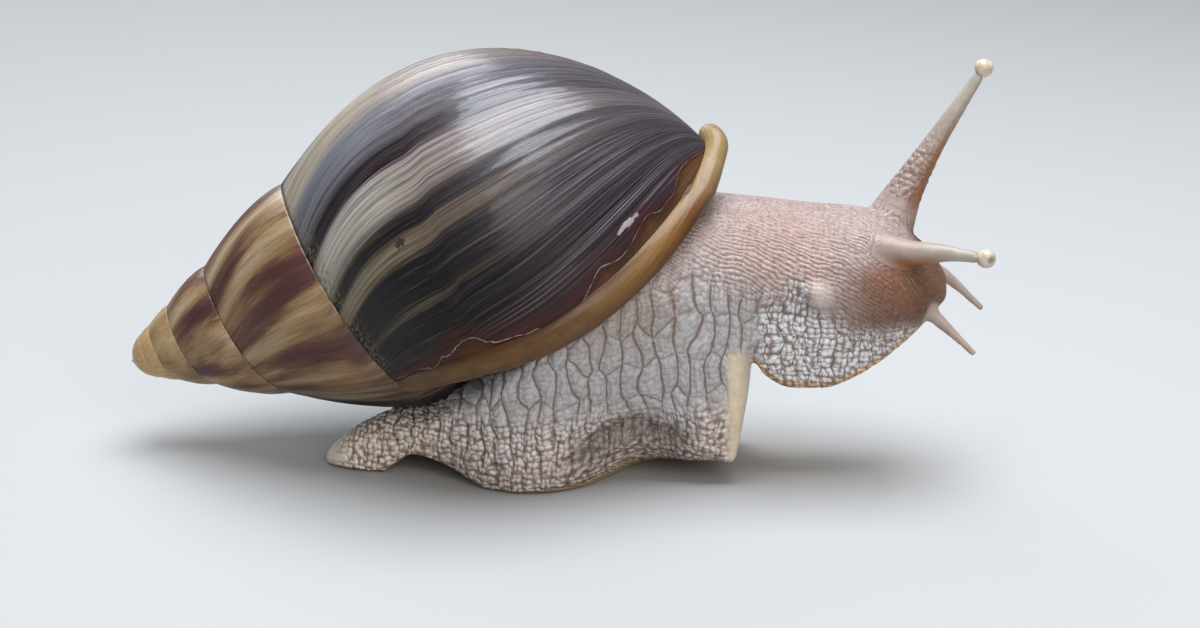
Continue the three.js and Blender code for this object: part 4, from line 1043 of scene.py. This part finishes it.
GROOVE_DEPTH, ROW_DEPTH, GRAIN_DEPTH = 0.42, 0.14, 0.12
relief = bpy.data.node_groups.new("relief", "GeometryNodeTree")
relief.interface.new_socket("Geometry", in_out="INPUT", socket_type="NodeSocketGeometry")
relief.interface.new_socket("Geometry", in_out="OUTPUT", socket_type="NodeSocketGeometry")
n = Nodes(relief)
height, groove, (x_at, p_at, u_at, v_at, rows_at, tall_at, bare_at, crease_shade_at), grains_at = skin_pattern(n)
depth = n.math("ADD", n.math("MULTIPLY", rows_at, ROW_DEPTH - GROOVE_DEPTH), GROOVE_DEPTH)
depth = n.math("ADD", n.math("MULTIPLY", grains_at, n.math("SUBTRACT", GRAIN_DEPTH, depth)), depth)
sink = n.math("MULTIPLY", n.math("MULTIPLY", n.math("SUBTRACT", height, 1.0), depth), n.math("SUBTRACT", 0.001, n.math("MULTIPLY", bare_at, 0.001)))
offset = n.add("ShaderNodeVectorMath", {0: n.add("GeometryNodeInputNormal"), "Scale": sink}, operation="SCALE")
moved = n.add("GeometryNodeSetPosition", {"Geometry": n.add("NodeGroupInput"), "Offset": offset})
n.add("NodeGroupOutput", (moved,))
carve = skin.modifiers.new("relief", "NODES")
carve.node_group = relief
flat = points_of(skin.data)
baked(skin)
carved = points_of(skin.data)
carved[:, 2] = np.maximum(carved[:, 2], 0)
skin.data.vertices.foreach_set("co", carved.ravel())
skin.data.polygons.foreach_set("use_smooth", np.ones(len(skin.data.polygons), bool))
print("grooves up to", round(1000 * float(np.linalg.norm(carved - flat, axis=1).max()), 2), "mm deep")
outward(skin)

# %% [markdown]
# ### Skin material
# Wet skin is pale on the cushions and brown in the grooves, and painted shade makes the deep fold under the front
# lobe nearly black. Every cushion carries a mosaic of still finer grains, which are too small to model and come from
# bump.
# A little light passes through the skin, and small highlights sit on the grains: their wet tops give real ones, and
# pale bluish flecks and bead tops are painted highlights.

# %% Skin material
skin_paint, surface, n = new_material("skin")
height, groove, (x_at, p_at, u_at, v_at, rows_at, tall_at, bare_at, crease_shade_at), grains_at = skin_pattern(n)
bead, bead_groove = bead_shape(n, u_at, v_at, 0.80, 0.90, 0.6)
mosaic = bead_shape(n, u_at, v_at, 0.42, 0.46, 0.8)[0]
speckled = n.math("SUBTRACT", 1.0, n.math("MULTIPLY", bare_at, 0.9))
mottle = n.noise(n.vector(x_at, p_at), 0.5, 4.0, 0.6)
# These flecks set the roughness and a little bump; where they are high they are also painted pale bluish as small
# glints, which are painted highlights.
flecks_and_glints = n.noise(n.vector(x_at, p_at, 4.0), 2.6, 3.0, 0.6)
colour = n.read("tint")
colour = n.mix(1.0, colour, n.ramp(mottle, (0.3, (0.86, 0.82, 0.78)), (0.7, (1.08, 1.08, 1.08))), "MULTIPLY")
beaded = n.math("MULTIPLY", speckled, n.math("SUBTRACT", 1.0, n.math("MULTIPLY", n.math("MAXIMUM", rows_at, tall_at), 0.7)))
# light is the beads' pale top colour with a painted bluish highlight in it; it is laid on the bead tops and on the
# glint flecks.
light, shade = n.mix(1.0, colour, (1.30, 1.32, 1.38, 1), "MULTIPLY"), n.mix(1.0, colour, (0.36, 0.25, 0.19, 1), "MULTIPLY")
colour = n.mix(n.math("MULTIPLY", n.math("SUBTRACT", 1.0, mosaic), n.math("MULTIPLY", speckled, 0.20)), colour, shade)
colour = n.mix(n.math("MULTIPLY", bead, n.math("MULTIPLY", beaded, 0.9)), colour, light)
colour = n.mix(n.math("MULTIPLY", bead_groove, n.math("MULTIPLY", beaded, 0.85)), colour, shade)
# Painted highlights: small pale bluish glints on the mosaic tops.
colour = n.mix(n.math("MULTIPLY", n.step(flecks_and_glints, 0.52, 0.66), n.math("MULTIPLY", n.math("MULTIPLY", mosaic, speckled), 0.7)), colour, light)
# Painted shade: pads and grooves along the fold under the front lobe are darkened, the grooves nearly to black.
colour = n.mix(n.math("MULTIPLY", crease_shade_at, 0.62), colour, (0.10, 0.072, 0.056, 1))
groove_tone = n.mix(rows_at, (0.135, 0.070, 0.044, 1), (0.20, 0.105, 0.080, 1))
groove_tone = n.mix(crease_shade_at, groove_tone, (0.010, 0.007, 0.006, 1))
colour = n.mix(n.math("MULTIPLY", groove, n.math("MULTIPLY_ADD", rows_at, -0.20, 0.85)), colour, groove_tone)
n.tree.links.new(colour, surface.inputs["Base Color"])
rough = n.add("ShaderNodeMapRange", {"Value": flecks_and_glints, "From Min": 0.35, "From Max": 0.65, "To Min": 0.34, "To Max": 0.55})
n.tree.links.new(rough, surface.inputs["Roughness"])
surface.inputs["Subsurface Weight"].default_value = 0.12
surface.inputs["Subsurface Radius"].default_value = (1.0, 0.45, 0.25)
surface.inputs["Subsurface Scale"].default_value = 0.0006
bump_height = n.math("ADD", n.math("MULTIPLY", height, 0.12), n.math("MULTIPLY", n.math("MULTIPLY", bead, beaded), 0.22))
bump_height = n.math("ADD", bump_height, n.math("MULTIPLY", n.math("MULTIPLY", mosaic, speckled), 0.03))
bump_height = n.math("ADD", bump_height, n.math("MULTIPLY", flecks_and_glints, 0.02))
bump = n.add("ShaderNodeBump", {"Strength": 0.9, "Distance": 0.001, "Height": bump_height})
n.tree.links.new(bump, surface.inputs["Normal"])
skin.data.materials.append(skin_paint)
print("skin material:", len(skin_paint.node_tree.nodes), "nodes")

# %% [markdown]
# ## Eyes
# The eyes sit on the tips of the upper feelers as small pale bulbs, with a dark lens under the skin of each.
# A bulb is a sphere from latitude and longitude, a little longer than it is wide, and the dark spot looks
# outwards and a little forward, fading at its edge as it does through skin.

# %% Eyes
EYE_RADIUS, GAP = 1.3, 0.3
for side, place in (("right", "upper right"), ("left", "upper left")):
    line = feeler_lines[place][0]
    onward = (line[-2] - line[-4]) / np.linalg.norm(line[-2] - line[-4])
    tip = FEELERS[place][0][-1]
    centre = np.array(tip) + onward * (EYE_RADIUS + GAP)
    outwards = np.cross(onward, np.cross([0, -1.0 if side == "right" else 1.0, 0.15], onward))
    outwards /= np.linalg.norm(outwards)
    third = np.cross(onward, outwards)
    low, turn = np.meshgrid(np.linspace(0, np.pi, 42), np.linspace(0, 2 * np.pi, 64, endpoint=False), indexing="ij")
    ring = (np.cos(turn)[..., None] * outwards + np.sin(turn)[..., None] * third) * np.sin(low)[..., None]
    ball = centre + EYE_RADIUS * (ring * 0.99 + np.cos(low)[..., None] * onward)
    eye = make_piece(f"eye_{side}_bulb", ball.reshape(-1, 3), grid_faces(42, 64, wrap=True))
    mesh = bmesh.new()
    mesh.from_mesh(eye.data)
    bmesh.ops.remove_doubles(mesh, verts=mesh.verts, dist=1e-6)
    mesh.to_mesh(eye.data)
    mesh.free()
    outward(eye)
    look = outwards * 0.80 + onward * 0.60
    outer = points_of(eye.data) * 1000 - TO_ORIGIN - centre
    store(eye, "lens", 1 - smoothstep(np.arccos(np.clip(outer @ look / EYE_RADIUS, -1, 1)), 0.18, 0.62))
    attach(eye, "root")
    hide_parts(f"eye_{side}")
    eye_paint, surface, n = new_material(f"eye {side}")
    dark = n.add("ShaderNodeAttribute", attribute_name="lens", output="Fac")
    cloud = n.noise(n.add("ShaderNodeTexCoord", output="Object"), 900.0, 3.0, 0.6)
    colour = n.mix(n.step(cloud, 0.35, 0.65), (0.46, 0.36, 0.25, 1), (0.60, 0.52, 0.40, 1))
    colour = n.mix(n.math("MULTIPLY", dark, 0.72), colour, (0.10, 0.085, 0.075, 1))
    n.tree.links.new(colour, surface.inputs["Base Color"])
    surface.inputs["Roughness"].default_value = 0.22
    surface.inputs["Subsurface Weight"].default_value = 0.2
    surface.inputs["Subsurface Scale"].default_value = 0.0006
    bump = n.add("ShaderNodeBump", {"Strength": 0.25, "Distance": 0.0001, "Height": cloud})
    n.tree.links.new(bump, surface.inputs["Normal"])
    eye.data.materials.append(eye_paint)
